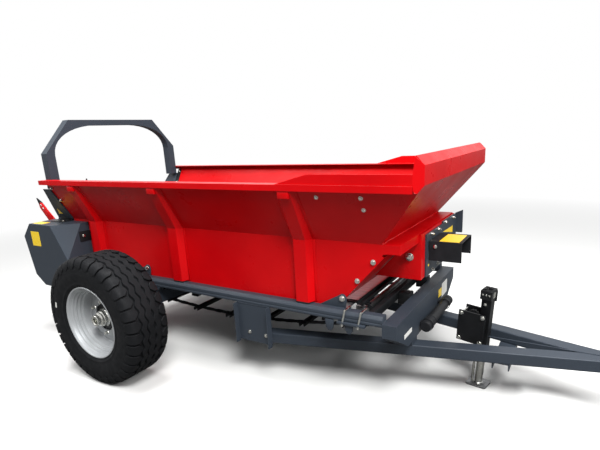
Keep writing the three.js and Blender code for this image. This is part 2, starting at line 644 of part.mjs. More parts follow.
function axle() {
  const half = AXLE_BEAM / 2;
  const beamEnd = WHEEL_Y - TYRE_WIDTH / 2 - 20;
  const beam = block([-half, half], [-beamEnd, beamEnd], [AXLE_Z - half, AXLE_Z + half]);
  const spindles = [1, -1].map((side) => rod(SPINDLE_RADIUS,
    [0, side * (beamEnd - 2), AXLE_Z], [0, side * (WHEEL_Y + 20), AXLE_Z], 24));
  const seats = [1, -1].map((side) => {
    const y = (RAIL_INNER_Y + RAIL_OUTER_Y) / 2;
    return hull([
      [-90, side * (y - 24), RAIL_BOTTOM_Z - GAP], [90, side * (y - 24), RAIL_BOTTOM_Z - GAP],
      [-90, side * (y + 24), RAIL_BOTTOM_Z - GAP], [90, side * (y + 24), RAIL_BOTTOM_Z - GAP],
      [-half, side * (y - 24), AXLE_Z + half - 2], [half, side * (y - 24), AXLE_Z + half - 2],
      [-half, side * (y + 24), AXLE_Z + half - 2], [half, side * (y + 24), AXLE_Z + half - 2]]);
  });
  return join(beam, ...spindles, ...seats);
}

function tyre() {
  const w = TYRE_WIDTH / 2;
  const r = TYRE_RADIUS;
  const bead = RIM_RADIUS - 12;
  const seat = RIM_WIDTH / 2 - 8;
  return turned([
    [bead, -seat], [RIM_RADIUS + 2, -seat], [RIM_RADIUS + 24, -seat - 6], [r - 110, -w + 6], [r - 70, -w], [r - 34, -w + 8],
    [r - 12, -w + 30], [r, -w + 56], [r, w - 56], [r - 12, w - 30], [r - 34, w - 8], [r - 70, w],
    [r - 110, w - 6], [RIM_RADIUS + 24, seat + 6], [RIM_RADIUS + 2, seat], [bead, seat], [bead, -seat],
  ]).translate(0, WHEEL_Y, AXLE_Z);
}

function rim() {
  const w = RIM_WIDTH / 2;
  const r = RIM_RADIUS;
  const seat = r - 12 - GAP;
  const lathe = turned([
    [66, 22], [128, 22], [150, 2], [171, -6], [171, w - 34], [seat - 7, w - 24], [seat - 7, w],
    [r, w], [r, w - 7 + GAP], [seat, w - 7], [seat, w - 28], [178, w - 40], [178, -w + 36],
    [seat, -w + 26], [seat, -w + 7 - GAP], [r, -w + 7 - GAP], [r, -w], [seat - 7, -w],
    [seat - 7, -w + 22], [170, -w + 32], [170, -14], [146, -6], [126, 14], [66, 14], [66, 22],
  ]);
  return lathe.translate(0, WHEEL_Y, AXLE_Z);
}

function hub() {
  const inner = SPINDLE_RADIUS + GAP;
  return turned([
    [inner, -70], [HUB_RADIUS, -70], [HUB_RADIUS, 0], [96, 0], [96, 14 - GAP], [62, 14 - GAP], [62, 22],
    [58, 60], [44, 64], [40, 92], [0, 92], [0, 40], [inner, 40], [inner, -70],
  ]).translate(0, WHEEL_Y, AXLE_Z);
}

// ---------------------------------------------------------------- rear frame and beater
const ARCH_REAR_X = ARCH_FRONT_X - ARCH_DEPTH;

function rearArch() {
  const w = ARCH_HALF_WIDTH;
  const t = ARCH_TOP_HALF;
  const foot = 1062;
  const inner = w - ARCH_WIDTH;
  const arch = outline([
    [-w, foot], [-inner, foot], [-inner, ARCH_SHOULDER_Z - 10],
  ]);
  const top = ARCH_TOP_Z - ARCH_TOP_THICKNESS;
  arch.bezierCurveTo(-inner + 4, ARCH_SHOULDER_Z + 100, -t + 10, top - 6, -t + 190, top);
  arch.lineTo(t - 190, top);
  arch.bezierCurveTo(t - 10, top - 6, inner - 4, ARCH_SHOULDER_Z + 100, inner, ARCH_SHOULDER_Z - 10);
  arch.lineTo(inner, foot);
  arch.lineTo(w, foot);
  arch.lineTo(w, ARCH_SHOULDER_Z);
  arch.lineTo(t, ARCH_TOP_Z);
  arch.lineTo(-t, ARCH_TOP_Z);
  arch.lineTo(-w, ARCH_SHOULDER_Z);
  const frame = prism(arch, 'x', ARCH_REAR_X, ARCH_FRONT_X, 10);
  const rimCut = [1, -1].map((side) => block([RIM_REAR_X - 1, ARCH_FRONT_X + 1],
    side > 0 ? [RIM_INNER_Y - GAP, w + 60] : [-w - 60, -RIM_INNER_Y + GAP],
    [RIM_Z - SHEET - GAP, RIM_Z + GAP]));
  return cut(frame, ...rimCut);
}

function rearSidePlate() {
  const inner = HOPPER_HALF_WIDTH - PLATE;
  const outer = HOPPER_HALF_WIDTH;
  const front = WALL_REAR_X - GAP;
  const rear = SIDE_PLATE_REAR;
  const lower = prism(outline([
    [front, FLOOR_Z - FLOOR_THICKNESS - GAP], [CONVEYOR_REAR_X - 30, FLOOR_Z - FLOOR_THICKNESS - GAP],
    [CONVEYOR_REAR_X - 30, 400],
    [-700, 384], rear[4], rear[3], rear[2], rear[1], [front, FOLD_Z],
  ]), 'y', inner, outer);
  const skin = PLATE * Math.hypot(1, FLARE_OUT);
  const flare = [];
  const foot = 1062 - GAP;
  for (const [z, back] of [[FOLD_Z, rear[1][0]], [foot, rear[0][0]]]) {
    for (const y of [flareY(z), flareY(z) - skin]) {
      flare.push([front, y, z], [back, y, z]);
    }
  }
  const post = [];
  for (const z of [FOLD_Z, foot]) {
    for (const y of [flareY(z) + 10, flareY(z) - skin]) {
      post.push([front, y, z], [front - ARCH_DEPTH, y, z]);
    }
  }
  return join(lower, hull(flare), hull(post));
}

function sideGuard() {
  const [x0, x1] = GUARD_X;
  const [z0, z1] = GUARD_Z;
  const inner = HOPPER_HALF_WIDTH + 0.5;
  const profile = (inset) => outline([
    [x1 - inset, z0 + inset], [x1 - inset, z1 - inset], [x0 + 97, z1 - inset], [x0 + inset, z1 - 95],
    [x0 + 56 + inset, z0 + 71], [x0 + 151, z0 + inset],
  ]);
  const shell = prism(profile(0), 'y', inner, GUARD_OUTER_Y);
  const hollow = prism(profile(GUARD_SHEET), 'y', inner - 1, GUARD_OUTER_Y - GUARD_SHEET);
  const [cx, cy, cz] = GUARD_CORNER;
  const corner = (inset) => hull([
    [x1 - cx - inset, GUARD_OUTER_Y + 1, z1 + 1], [x1 + 1, GUARD_OUTER_Y + 1, z1 - cz - inset],
    [x1 + 1, GUARD_OUTER_Y - cy - inset, z1 + 1], [x1 + 60, GUARD_OUTER_Y + 60, z1 + 60],
  ]);
  const closed = cut(shell, corner(0));
  return cut(closed, cut(hollow, corner(12)));
}

function blade(y, angle) {
  const root = BEATER_TUBE_RADIUS - 4;
  const tip = BEATER_RADIUS;
  const shape = outline([[root, -34], [tip - 60, -26], [tip, -4], [tip, 6], [tip - 70, 26], [root, 34]]);
  const plate = prism(shape, 'y', y - BLADE_THICKNESS / 2, y + BLADE_THICKNESS / 2);
  plate.rotateY(-angle);
  return plate;
}

function beater() {
  const half = BEATER_HALF_LENGTH;
  const parts = [rod(BEATER_TUBE_RADIUS, [0, -half, 0], [0, half, 0], 28)];
  for (const side of [1, -1]) {
    parts.push(rod(30, [0, side * (half - 2), 0], [0, side * (HOPPER_HALF_WIDTH - PLATE - GAP), 0], 20));
  }
  const outermost = half - BEATER_END_MARGIN;
  for (let i = 0; i < BEATER_STATIONS; i += 1) {
    const y = -outermost + i * 2 * outermost / (BEATER_STATIONS - 1);
    const angle = THREE.MathUtils.degToRad(BLADE_START + i * BLADE_STEP);
    parts.push(blade(y, angle), blade(y, angle + Math.PI));
  }
  return join(...parts).translate(BEATER_X, 0, BEATER_Z);
}

// ---------------------------------------------------------------- front drive
function gearboxHousing() {
  const [y0, y1] = HOUSING_Y;
  const top = FOLD_Z - SHELF_LIP - GAP;
  const back = frontWallX(HOUSING_BOTTOM_Z) + 4;
  const side = outline([
    [back, HOUSING_BOTTOM_Z], [HOUSING_X, HOUSING_BOTTOM_Z], [HOUSING_X, FOLD_Z - SHEET - GAP],
    [SHELF_X + GAP, FOLD_Z - SHEET - GAP], [SHELF_X + GAP, top], [frontWallX(FRONT_WALL_TOP_Z) + 4, top],
    [frontWallX(FRONT_WALL_TOP_Z) + 4, FRONT_WALL_TOP_Z],
  ]);
  const sides = [prism(side, 'y', y0, y0 + 4), prism(side, 'y', y1 - 4, y1)];
  const flange = block([HOUSING_X - 4, HOUSING_X], [y0 + 2, y1 - 2],
    [HOUSING_BOTTOM_Z, FOLD_Z - SHEET - GAP]);
  return join(...sides, flange);
}

// flat plate on the housing's front, with a wing folded forward along its left edge
function drivePlate() {
  const [y0, y1] = DRIVE_PLATE_Y;
  const [z0, z1] = DRIVE_PLATE_Z;
  const top = z1 + DRIVE_STEP;
  const [notchWidth, notchDepth] = DRIVE_NOTCH;
  const shape = outline([
    [y0, z0], [y1, z0], [y1, top - notchDepth], [y1 - notchWidth, top - notchDepth], [y1 - notchWidth, top],
    [DRIVE_STEP_Y, top], [DRIVE_STEP_Y, z1], [y0, z1],
  ]);
  const plate = prism(shape, 'x', HOUSING_X + GAP, HOUSING_X + GAP + PLATE);
  const [foot, rear, front] = WING_Z;
  const wing = outline([
    [HOUSING_X + GAP, foot], [HOUSING_X + WING_REACH, foot], [HOUSING_X + WING_REACH, front],
    [HOUSING_X + GAP, rear],
  ]);
  return join(plate, prism(wing, 'y', y1 - 1, y1 + PLATE));
}

function gearbox() {
  const back = frontWallX(FRONT_WALL_TOP_Z) + 8;
  return block([back, HOUSING_X - 5], [-95, 95], [HOUSING_BOTTOM_Z + 14, FOLD_Z - SHELF_LIP - 6]);
}

function ptoGuard() {
  const x0 = HOUSING_X + 10 + GAP;
  const x1 = x0 + HOOD_LENGTH;
  const h = HOOD_HALF_WIDTH;
  const shell = block([x0, x1], [-h, h], [HOOD_TOP_Z - HOOD_HEIGHT, HOOD_TOP_Z]);
  const hollow = block([x0 - 1, x1 + 1], [-h + 4, h - 4], [HOOD_TOP_Z - HOOD_HEIGHT - 1, HOOD_TOP_Z - 4]);
  return cut(shell, hollow);
}

function ptoStub() {
  const x0 = HOUSING_X + 10 + GAP + 2;
  return join(
    rod(17.5, [x0, 0, PTO_Z], [x0 + 110, 0, PTO_Z], 24),
    rod(26, [x0, 0, PTO_Z], [x0 + 28, 0, PTO_Z], 24));
}

// ---------------------------------------------------------------- assembly
addPair('hopper_side', hopperSide(), 'red');
add('hopper_front', hopperFront(), 'red');
addPair('hopper_upstand', upstand(), 'red');
add('hopper_front_wall', hopperFrontWall(), 'red');
add('front_shelf', shelf(), 'red');
add('hopper_floor', hopperFloor(), 'steel');
add('conveyor', conveyor(), 'black');
add('conveyor_rear_shaft', conveyorShaft(CONVEYOR_REAR_X), 'steel');
add('conveyor_front_shaft', conveyorShaft(CONVEYOR_FRONT_X), 'steel');
addPair('chassis_rail', rail(), 'grey');
add('floor_frame', floorFrame(), 'black');
add('front_beam', frontBeam(), 'grey');
add('document_tube', documentTube(), 'black');
addPair('drawbar_hanger', hangerBracket(), 'grey');
addPair('drawbar', drawbar(), 'grey');
add('drawbar_cross_plate', crossPlate(), 'grey');
add('tow_eye', towEye(), 'steel');
add('jack_mount', jackMount(), 'black');
add('jack_tube', jackTube(), 'black');
add('jack_leg', jackLeg(), 'steel');
add('axle', axle(), 'grey');
addPair('tyre', tyre(), 'rubber');
addPair('rim', rim(), 'silver');
addPair('hub', hub(), 'silver');
add('rear_arch', rearArch(), 'grey');
addPair('rear_side_plate', rearSidePlate(), 'grey');
addPair('side_guard', sideGuard(), 'grey');
add('beater', beater(), 'red');
add('gearbox_housing', gearboxHousing(), 'red');
add('drive_plate', drivePlate(), 'grey');
add('gearbox', gearbox(), 'black');
add('pto_guard', ptoGuard(), 'black');
add('pto_stub', ptoStub(), 'steel');

// the origin lies on the ground, under the middle of the machine's whole length
const whole = new THREE.Box3().setFromObject(group);
group.position.x = -(whole.min.x + whole.max.x) / 2;

export default group;
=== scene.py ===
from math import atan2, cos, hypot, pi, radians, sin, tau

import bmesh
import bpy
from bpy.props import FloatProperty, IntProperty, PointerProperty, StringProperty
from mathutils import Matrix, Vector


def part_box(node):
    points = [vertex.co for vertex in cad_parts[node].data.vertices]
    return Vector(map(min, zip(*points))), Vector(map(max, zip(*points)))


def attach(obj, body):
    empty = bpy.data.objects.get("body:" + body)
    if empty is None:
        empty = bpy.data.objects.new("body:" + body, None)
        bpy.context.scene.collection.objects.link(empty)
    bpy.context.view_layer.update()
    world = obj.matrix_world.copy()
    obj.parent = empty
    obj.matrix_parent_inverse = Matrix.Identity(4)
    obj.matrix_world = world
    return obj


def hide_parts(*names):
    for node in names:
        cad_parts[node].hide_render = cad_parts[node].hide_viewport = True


bl_info = {
    "name": "Manure Spreader",
    "version": (1, 0, 0),
    "blender": (4, 5, 0),
    "location": "View3D > Sidebar > Spreader",
    "description": "Finishes a towed manure spreader around its construction frame",
    "category": "Object",
}

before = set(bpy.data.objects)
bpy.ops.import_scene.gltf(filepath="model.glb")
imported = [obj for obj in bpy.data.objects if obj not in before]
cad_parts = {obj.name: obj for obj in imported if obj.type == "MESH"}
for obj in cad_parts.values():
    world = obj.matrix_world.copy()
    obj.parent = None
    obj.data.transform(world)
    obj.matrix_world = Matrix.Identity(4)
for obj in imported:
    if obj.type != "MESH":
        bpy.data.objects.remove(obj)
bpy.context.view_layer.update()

MM = 0.001
SIDES = {"left": 1, "right": -1}
FORWARD, LEFT, UP = (1, 0, 0), (0, 1, 0), (0, 0, 1)


def middle(node):
    """The middle of a node's box."""
    low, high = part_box(node)
    return (low + high) / 2


AXLE = middle("axle")
WHEEL_Z = middle("hub_left").z


def at(x, y, z):
    """A place in millimetres: x forward from the axle, y to the left, z above the ground."""
    return Vector((AXLE.x + x * MM, y * MM, z * MM))


def mm(x, y, z):
    """A vector given in millimetres."""
    return Vector((x, y, z)) * MM


def scaled(points):
    """An outline or a profile given in millimetres."""
    return [(a * MM, b * MM) for a, b in points]


# ------------------------------------------------------------------ values a user would change
def colour_value(name, description, default):
    return StringProperty(name=name, description=description, default=default)


def length_value(name, description, default, least):
    return FloatProperty(
        name=name, description=description, default=default, min=least, subtype="DISTANCE", unit="LENGTH")


def angle_value(name, description, degrees):
    return FloatProperty(name=name, description=description, default=radians(degrees), unit="ROTATION")


class SpreaderColours(bpy.types.PropertyGroup):
    """The colours of the finishes, as sRGB hex values"""

    red: colour_value("Red", "Gloss powder coat of the hopper", "#C4060C")
    red_shade: colour_value("Red, shaded", "Cloudy variation of the red coat", "#B4040A")
    grey: colour_value("Grey", "Powder coat of the chassis", "#2F353D")
    grey_speck: colour_value("Grey speck", "Fine variation of the grey coat", "#363D46")
    black: colour_value("Black", "Paint of the conveyor and jack", "#141516")
    plastic: colour_value("Plastic", "Moulded polyethylene", "#17181A")
    # The tyre's second tone, mixed in clouds: partly dust, partly painted sheen of the sky on the rubber.
    rubber: colour_value("Rubber", "Tyre rubber", "#131416")
    rubber_dust_and_sheen: colour_value("Rubber dust and sheen", "Dust and painted sheen on the tyre", "#1E1E20")
    silver: colour_value("Silver", "Wheel paint", "#A9ABAD")
    zinc: colour_value("Zinc", "Bright zinc plate on bolts and jack leg", "#D2D2CC")
    steel: colour_value("Steel", "Bare worn steel", "#8B8C8E")
    yellow: colour_value("Yellow label", "Blank yellow labels", "#F6CE14")
    white: colour_value("White label", "Blank white labels", "#E2E2DE")
    floor: colour_value("Floor", "Studio floor, as seen", "#DCDCDA")
    floor_bounce: colour_value("Floor bounce", "Light the floor gives back", "#6E6E6C")


class SpreaderSizes(bpy.types.PropertyGroup):
    """The sizes of the finishing details"""

    sheet_edge: length_value("Sheet edge", "Rounding of cut and bent sheet", 0.0012, 0.0002)
    tube_edge: length_value("Tube edge", "Corner radius of the square tubes", 0.006, 0.001)
    bolt: length_value("Bolt", "Thread of the hopper's bolts", 0.012, 0.004)
    weld: length_value("Weld", "Half the width of a weld bead", 0.003, 0.001)
    tread_depth: length_value("Tread depth", "Depth of the tyre's grooves", 0.013, 0.004)
    chain_pitch: length_value("Chain pitch", "Length of one conveyor link", 0.038, 0.02)
    tread_pitches: IntProperty(
        name="Tread pitches", description="Shoulder blocks round each tyre", default=34, min=20)
    wheel_nuts: IntProperty(name="Wheel nuts", description="Nuts on each hub", default=6, min=4)


def colours():
    return bpy.context.scene.spreader_colours


def sizes():
    return bpy.context.scene.spreader_sizes


# ------------------------------------------------------------------ materials
def linear(hex_colour):
    """Linear red, green, blue and alpha of an sRGB hex colour."""
    channels = [int(hex_colour[i:i + 2], 16) / 255 for i in (1, 3, 5)]
    return [c / 12.92 if c <= 0.04045 else ((c + 0.055) / 1.055) ** 2.4 for c in channels] + [1.0]


def add_node(tree, kind, settings=None, inputs=None):
    """Adds a node with its settings; an input is given a value, or the socket that feeds it."""
    node = tree.nodes.new(kind)
    for name, value in (settings or {}).items():
        setattr(node, name, value)
    for name, value in (inputs or {}).items():
        if isinstance(value, bpy.types.NodeSocket):
            tree.links.new(value, node.inputs[name])
        else:
            node.inputs[name].default_value = value
    return node


def start_material(name, **shader_values):
    """A new material, with its node tree, its shader and its object coordinates."""
    material = bpy.data.materials.new(name)
    material.use_nodes = True
    tree = material.node_tree
    shader = tree.nodes["Principled BSDF"]
    for socket, value in shader_values.items():
        shader.inputs[socket.replace("_", " ")].default_value = value
    coords = add_node(tree, "ShaderNodeTexCoord").outputs["Object"]
    return material, tree, shader, coords


def noise(tree, coords, size, detail=3.0, stretch=(1, 1, 1)):
    """Noise whose patches are about as large as the size, in metres."""
    placed = add_node(tree, "ShaderNodeMapping", inputs={"Vector": coords, "Scale": stretch})
    return add_node(tree, "ShaderNodeTexNoise", inputs={
        "Vector": placed.outputs["Vector"], "Scale": 1 / size, "Detail": detail}).outputs["Fac"]


def ramp(tree, source, low, high, first, second):
    """The source's range from low to high, turned into a run between two values."""
    return add_node(tree, "ShaderNodeMapRange", {"clamp": True}, {
        "Value": source, "From Min": low, "From Max": high, "To Min": first, "To Max": second}).outputs["Result"]


def mix_colours(tree, factor, first, second):
    """A colour between two hex colours. The sockets go by number, as they share their names with the float ones."""
    return add_node(tree, "ShaderNodeMix", {"data_type": "RGBA"}, {
        0: factor, 6: linear(first), 7: linear(second)}).outputs[2]


def bump(tree, height, distance, strength):
    return add_node(tree, "ShaderNodeBump", inputs={
        "Height": height, "Distance": distance, "Strength": strength}).outputs["Normal"]


def coat(name, first, second, cloud, span, gloss=None, relief=None, **shader_values):
    """A material of two tones, mixed by a cloud's noise over its span.

    Gloss gives a noise and the roughness at its ends; relief gives a noise, its depth in metres and its strength.
    """
    material, tree, shader, coords = start_material(name, **shader_values)
    factor = ramp(tree, noise(tree, coords, *cloud), *span)
    tree.links.new(mix_colours(tree, factor, first, second), shader.inputs["Base Color"])
    if gloss:
        patches, smooth, rough = gloss
        roughness = ramp(tree, noise(tree, coords, *patches), 0.3, 0.7, smooth, rough)
        tree.links.new(roughness, shader.inputs["Roughness"])
    if relief:
        grain, depth, strength = relief
        tree.links.new(bump(tree, noise(tree, coords, *grain), depth, strength), shader.inputs["Normal"])
    return material


def red_enamel():
    """Polyester powder coat on sheet: high gloss with a little orange peel, in a clear red."""
    return coat("red_powder_coat", colours().red, colours().red_shade, (0.35,), (0.35, 0.65, 0, 1),
                ((0.12,), 0.26, 0.36), ((0.006, 2), 0.00006, 0.25),
                Roughness=0.36, IOR=1.3, Specular_IOR_Level=0.3)


def grey_coat():
    """Fine-texture powder coat on steel tube: satin, with a grain that breaks up the highlights."""
    return coat("grey_powder_coat", colours().grey, colours().grey_speck, (0.004, 2), (0.35, 0.7, 0, 1),
                ((0.15,), 0.36, 0.48), ((0.003, 2), 0.00025, 0.5),
                Roughness=0.42, IOR=1.4, Specular_IOR_Level=0.3)


def black_paint():
    """Brushed-on satin paint over rolled steel: dark, with soft uneven gloss."""
    return coat("black_satin_paint", colours().black, "#1C1D1F", (0.08,), (0.3, 0.7, 0, 1),
                ((0.05,), 0.32, 0.5), ((0.005,), 0.0003, 0.4),
                Roughness=0.4, IOR=1.4, Specular_IOR_Level=0.2)


def black_plastic():
    """Moulded polyethylene: matt, with a leathery mould grain."""
    material = coat("moulded_polyethylene", colours().plastic, "#202124", (0.06,), (0.3, 0.7, 0, 1),
                    Roughness=0.5, IOR=1.4, Specular_IOR_Level=0.2)
    tree = material.node_tree
    coords = add_node(tree, "ShaderNodeTexCoord").outputs["Object"]
    cell = add_node(tree, "ShaderNodeTexVoronoi", inputs={"Vector": coords, "Scale": 600.0}).outputs["Distance"]
    tree.links.new(bump(tree, cell, 0.0002, 0.5), tree.nodes["Principled BSDF"].inputs["Normal"])
    return material


def tyre_rubber():
    """Vulcanised rubber, new: black with a brown-grey tone in clouds, partly a film of dust and partly painted
    sheen of the sky, and a fine mould texture.
    """
    # The second tone, mixed in noise clouds, is partly dust and partly painted sky sheen on the tyre.
    return coat("vulcanised_rubber", colours().rubber, colours().rubber_dust_and_sheen, (0.09, 5), (0.45, 0.75, 0, 0.5),
                ((0.03,), 0.52, 0.78), ((0.004, 4), 0.0006, 0.5),
                Roughness=0.55, IOR=1.4, Specular_IOR_Level=0.15)


def wheel_paint():
    """Aluminium-flake lacquer on pressed steel: pale silver with a soft metallic sheen."""
    return coat("silver_wheel_lacquer", colours().silver, "#9DA0A2", (0.0025, 1), (0.3, 0.7, 0, 1),
                ((0.06,), 0.38, 0.5), ((0.02,), 0.0005, 0.25), Metallic=0.25, Roughness=0.42, IOR=1.4)


def zinc_plate():
    """Electroplated zinc on steel: bright, with faint patches where the bath took differently."""
    return coat("bright_zinc_plate", colours().zinc, "#BDBDB9", (0.012,), (0.35, 0.65, 0, 1),
                ((0.02, 4, (1, 1, 0.1)), 0.16, 0.34), Metallic=1.0, Roughness=0.25)


def worn_steel():
    """Hot-rolled plate polished by the load: drawn scratches along the floor over mill scale."""
    scratches = (0.01, 6, (0.05, 1, 1))
    return coat("worn_rolled_steel", colours().steel, "#6E6F71", scratches, (0.35, 0.65, 0, 1),
                (scratches, 0.32, 0.52), (scratches, 0.0002, 0.4), Metallic=1.0, Roughness=0.42)


def label(name, colour):
    """Printed vinyl film with a satin laminate and a soft, slightly uneven surface."""
    return coat(name, colour, "#D8D2B8", (0.03,), (0.3, 0.7, 0, 0.1), relief=((0.01,), 0.0001, 0.5),
                Roughness=0.35, IOR=1.5)


FINISHES = {
    "red_paint": red_enamel,
    "grey_paint": grey_coat,
    "black_paint": black_paint,
    "black_plastic": black_plastic,
    "tyre_rubber": tyre_rubber,
    "silver_paint": wheel_paint,
    "zinc_steel": zinc_plate,
    "bare_steel": worn_steel,
    "yellow_label": lambda: label("yellow_vinyl", colours().yellow),
    "white_label": lambda: label("white_vinyl", colours().white),
}
made_materials = {}


def finish(slot):
    """The material of a slot, made when it is first asked for."""
    if slot not in made_materials:
        made_materials[slot] = FINISHES[slot]()
    return made_materials[slot]


# ------------------------------------------------------------------ making pieces
def link_object(name, data):
    """A new object of this data, in the scene."""
    thing = bpy.data.objects.new(name, data)
    bpy.context.scene.collection.objects.link(thing)
    return thing


def make_piece(name, bm, slot, body="chassis", replaces=(), sharp=32.0):
    """Turns a finished bmesh into a piece of one finish that rides on a body."""
    bmesh.ops.recalc_face_normals(bm, faces=bm.faces)
    limit = radians(sharp)
    for face in bm.faces:
        face.smooth = True
    for edge in bm.edges:
        edge.smooth = edge.is_manifold and edge.calc_face_angle() < limit
    mesh = bpy.data.meshes.new(name)
    bm.to_mesh(mesh)
    bm.free()
    mesh.materials.append(finish(slot))
    piece = link_object(name, mesh)
    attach(piece, body)
    if replaces:
        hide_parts(*replaces)
    return piece


def drawn(draw):
    """A new bmesh that holds what draw makes."""
    bm = bmesh.new()
    draw(bm)
    return bm


def dress_node(name, slot, edge=0.0, segments=2):
    """Gives a node of the frame its finish, and rounds its edges."""
    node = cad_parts[name]
    node.data.materials.clear()
    node.data.materials.append(finish(slot))
    if edge:
        weld = node.modifiers.new("weld", "WELD")
        weld.merge_threshold = 0.00005
        flat = node.modifiers.new("flat", "DECIMATE")
        flat.decimate_type = "DISSOLVE"
        flat.angle_limit = radians(0.3)
        bevel = node.modifiers.new("edge", "BEVEL")
        bevel.width = edge
        bevel.segments = segments
        bevel.limit_method = "ANGLE"
        bevel.angle_limit = radians(24)
    return node


def moved_verts(result):
    return [item for item in result["geom"] if isinstance(item, bmesh.types.BMVert)]


def soften(bm, verts, radius, segments=2, angle=30.0):
    """Rounds the sharp edges between these vertices."""
    edges = {edge for vert in verts for edge in vert.link_edges}
    sharp = [edge for edge in edges if edge.is_manifold and edge.calc_face_angle() > radians(angle)]
    bmesh.ops.bevel(bm, geom=sharp, offset=radius, offset_type="OFFSET", segments=segments, profile=0.5,
                    affect="EDGES", material=-1, clamp_overlap=True)


def add_box(bm, low, high, edge=0.0, turn=None, segments=2):
    """A box between two corners, turned about its middle, with rounded edges."""
    low, high = Vector(low), Vector(high)
    matrix = Matrix.Translation((low + high) / 2)
    if turn is not None:
        matrix = matrix @ turn
    matrix = matrix @ Matrix.Diagonal((high - low).to_4d())
    verts = bmesh.ops.create_cube(bm, size=1, matrix=matrix)["verts"]
    if edge:
        soften(bm, verts, edge, segments)


def add_rod(bm, start, end, radius, segments=20, end_radius=None, edge=0.0):
    """A round bar between two places."""
    start, end = Vector(start), Vector(end)
    along = end - start
    turn = Vector((0, 0, 1)).rotation_difference(along.normalized()).to_matrix().to_4x4()
    verts = bmesh.ops.create_cone(
        bm, cap_ends=True, segments=segments, radius1=radius,
        radius2=radius if end_radius is None else end_radius, depth=along.length,
        matrix=Matrix.Translation((start + end) / 2) @ turn)["verts"]
    if edge:
        soften(bm, verts, edge, 2, 50)


def add_plate(bm, outline, thickness, matrix, edge=0.0):
    """An outline of (x, y) corners, thickened along its own z and placed by a matrix."""
    verts = [bm.verts.new((x, y, 0)) for x, y in outline]
    face = bm.faces.new(verts)
    top = moved_verts(bmesh.ops.extrude_face_region(bm, geom=[face]))
    bmesh.ops.translate(bm, verts=top, vec=(0, 0, thickness))
    bmesh.ops.transform(bm, matrix=matrix, verts=verts + top)
    if edge:
        soften(bm, verts + top, edge)
    return verts + top


def across(x_axis, y_axis, origin):
    """The matrix of a plane with these two directions at an origin."""
    x_axis, y_axis = Vector(x_axis).normalized(), Vector(y_axis).normalized()
    z_axis = x_axis.cross(y_axis)
    return Matrix.Translation(origin) @ Matrix((x_axis, y_axis, z_axis)).transposed().to_4x4()


def add_sheet(bm, outline, thickness, x_axis, y_axis, origin, edge=0.0):
    """A plate cut to an outline, on the plane of two directions at an origin; all but the origin in millimetres."""
    add_plate(bm, scaled(outline), thickness * MM, across(x_axis, y_axis, origin), edge * MM)


def rounded(width, height, radius, steps=4):
    """The outline of a rectangle about its middle, with round corners."""
    points = []
    for cx, cy, first in ((1, 1, 0), (-1, 1, pi / 2), (-1, -1, pi), (1, -1, 3 * pi / 2)):
        for i in range(steps + 1):
            angle = first + pi / 2 * i / steps
            points.append((cx * (width / 2 - radius) + radius * cos(angle),
                           cy * (height / 2 - radius) + radius * sin(angle)))
    return points


def revolve(bm, profile, segments=96, centre=(0, 0, 0)):
    """A closed profile of (radius, y) points spun round the Y axis through a centre."""
    verts = [bm.verts.new(Vector((r, y, 0)) + Vector(centre)) for r, y in profile]
    edges = [bm.edges.new(pair) for pair in zip(verts, verts[1:] + verts[:1])]
    before = len(bm.verts)
    bmesh.ops.spin(bm, geom=verts + edges, cent=centre, axis=(0, 1, 0), angle=tau, steps=segments, use_merge=True)
    bm.verts.ensure_lookup_table()
    poles = [vert for vert in bm.verts if vert.index < 0 or vert.index >= before - len(verts)]
    bmesh.ops.remove_doubles(bm, verts=poles, dist=1e-6)


def add_bolt(bm, place, axis, size, stud=0.0):
    """A hexagon head on a washer along an axis, with a stud a nut on its thread; its measures go with its size."""
    place, axis = Vector(place), Vector(axis).normalized()
    add_rod(bm, place, place + axis * size * 0.18, size * 1.1, 20, edge=size * 0.04)
    add_rod(bm, place + axis * size * 0.16, place + axis * size * 0.8, size * 0.92, 6, edge=size * 0.09)
    if stud:
        add_rod(bm, place + axis * size * 0.7, place + axis * (size * 0.8 + stud), size * 0.5, 12, edge=size * 0.08)


def add_bead(bm, start, end, radius):
    """A weld bead: a run of overlapping low domes between two places."""
    start, end = Vector(start), Vector(end)
    run = end - start
    count = max(2, int(run.length / (radius * 1.6)))
    turn = Vector((1, 0, 0)).rotation_difference(run.normalized()).to_matrix().to_4x4()
    add_rod(bm, start, end, radius * 0.8, 8)
    for i in range(count):
        place = start + run * ((i + 0.5) / count)
        matrix = Matrix.Translation(place) @ turn @ Matrix.Diagonal((0.75, 1, 1, 1))
        bmesh.ops.create_icosphere(bm, subdivisions=1, radius=radius, matrix=matrix)


def move_into(bm, source):
    """Adds what another bmesh holds, and frees that one."""
    mesh = bpy.data.meshes.new("moved")
    source.to_mesh(mesh)
    source.free()
    bm.from_mesh(mesh)
    bpy.data.meshes.remove(mesh)


def both_sides(draw):
    """A bmesh that holds what draw makes on the left, and its mirror image on the right."""
    bm = drawn(draw)
    right = bm.copy()
    bmesh.ops.scale(right, vec=(1, -1, 1), verts=right.verts)
    bmesh.ops.reverse_faces(right, faces=right.faces)
    move_into(bm, right)
    return bm


# ------------------------------------------------------------------ the hopper's planes and the rails, in mm
RIB_X = (-505, 245, 1130)
WALL_Y = 447
FOLD_Z = 842
LIP_Z = 1094
FLARE_TOP_Y = 588
FLARE_SPAN = hypot(FLARE_TOP_Y - WALL_Y, LIP_Z - FOLD_Z)
FLARE_ANGLE = atan2(FLARE_TOP_Y - WALL_Y, LIP_Z - FOLD_Z)
FLARE_OUT = Vector((0, cos(FLARE_ANGLE), -sin(FLARE_ANGLE)))    # square to the left flare, outwards
FLARE_UP = Vector((0, sin(FLARE_ANGLE), cos(FLARE_ANGLE)))
RAIL_LOW, RAIL_TOP = 460, 512
# Top of the black blocks on the rail under the feet of the ribs.
RIB_FOOT_BLOCK_TOP = 519.6


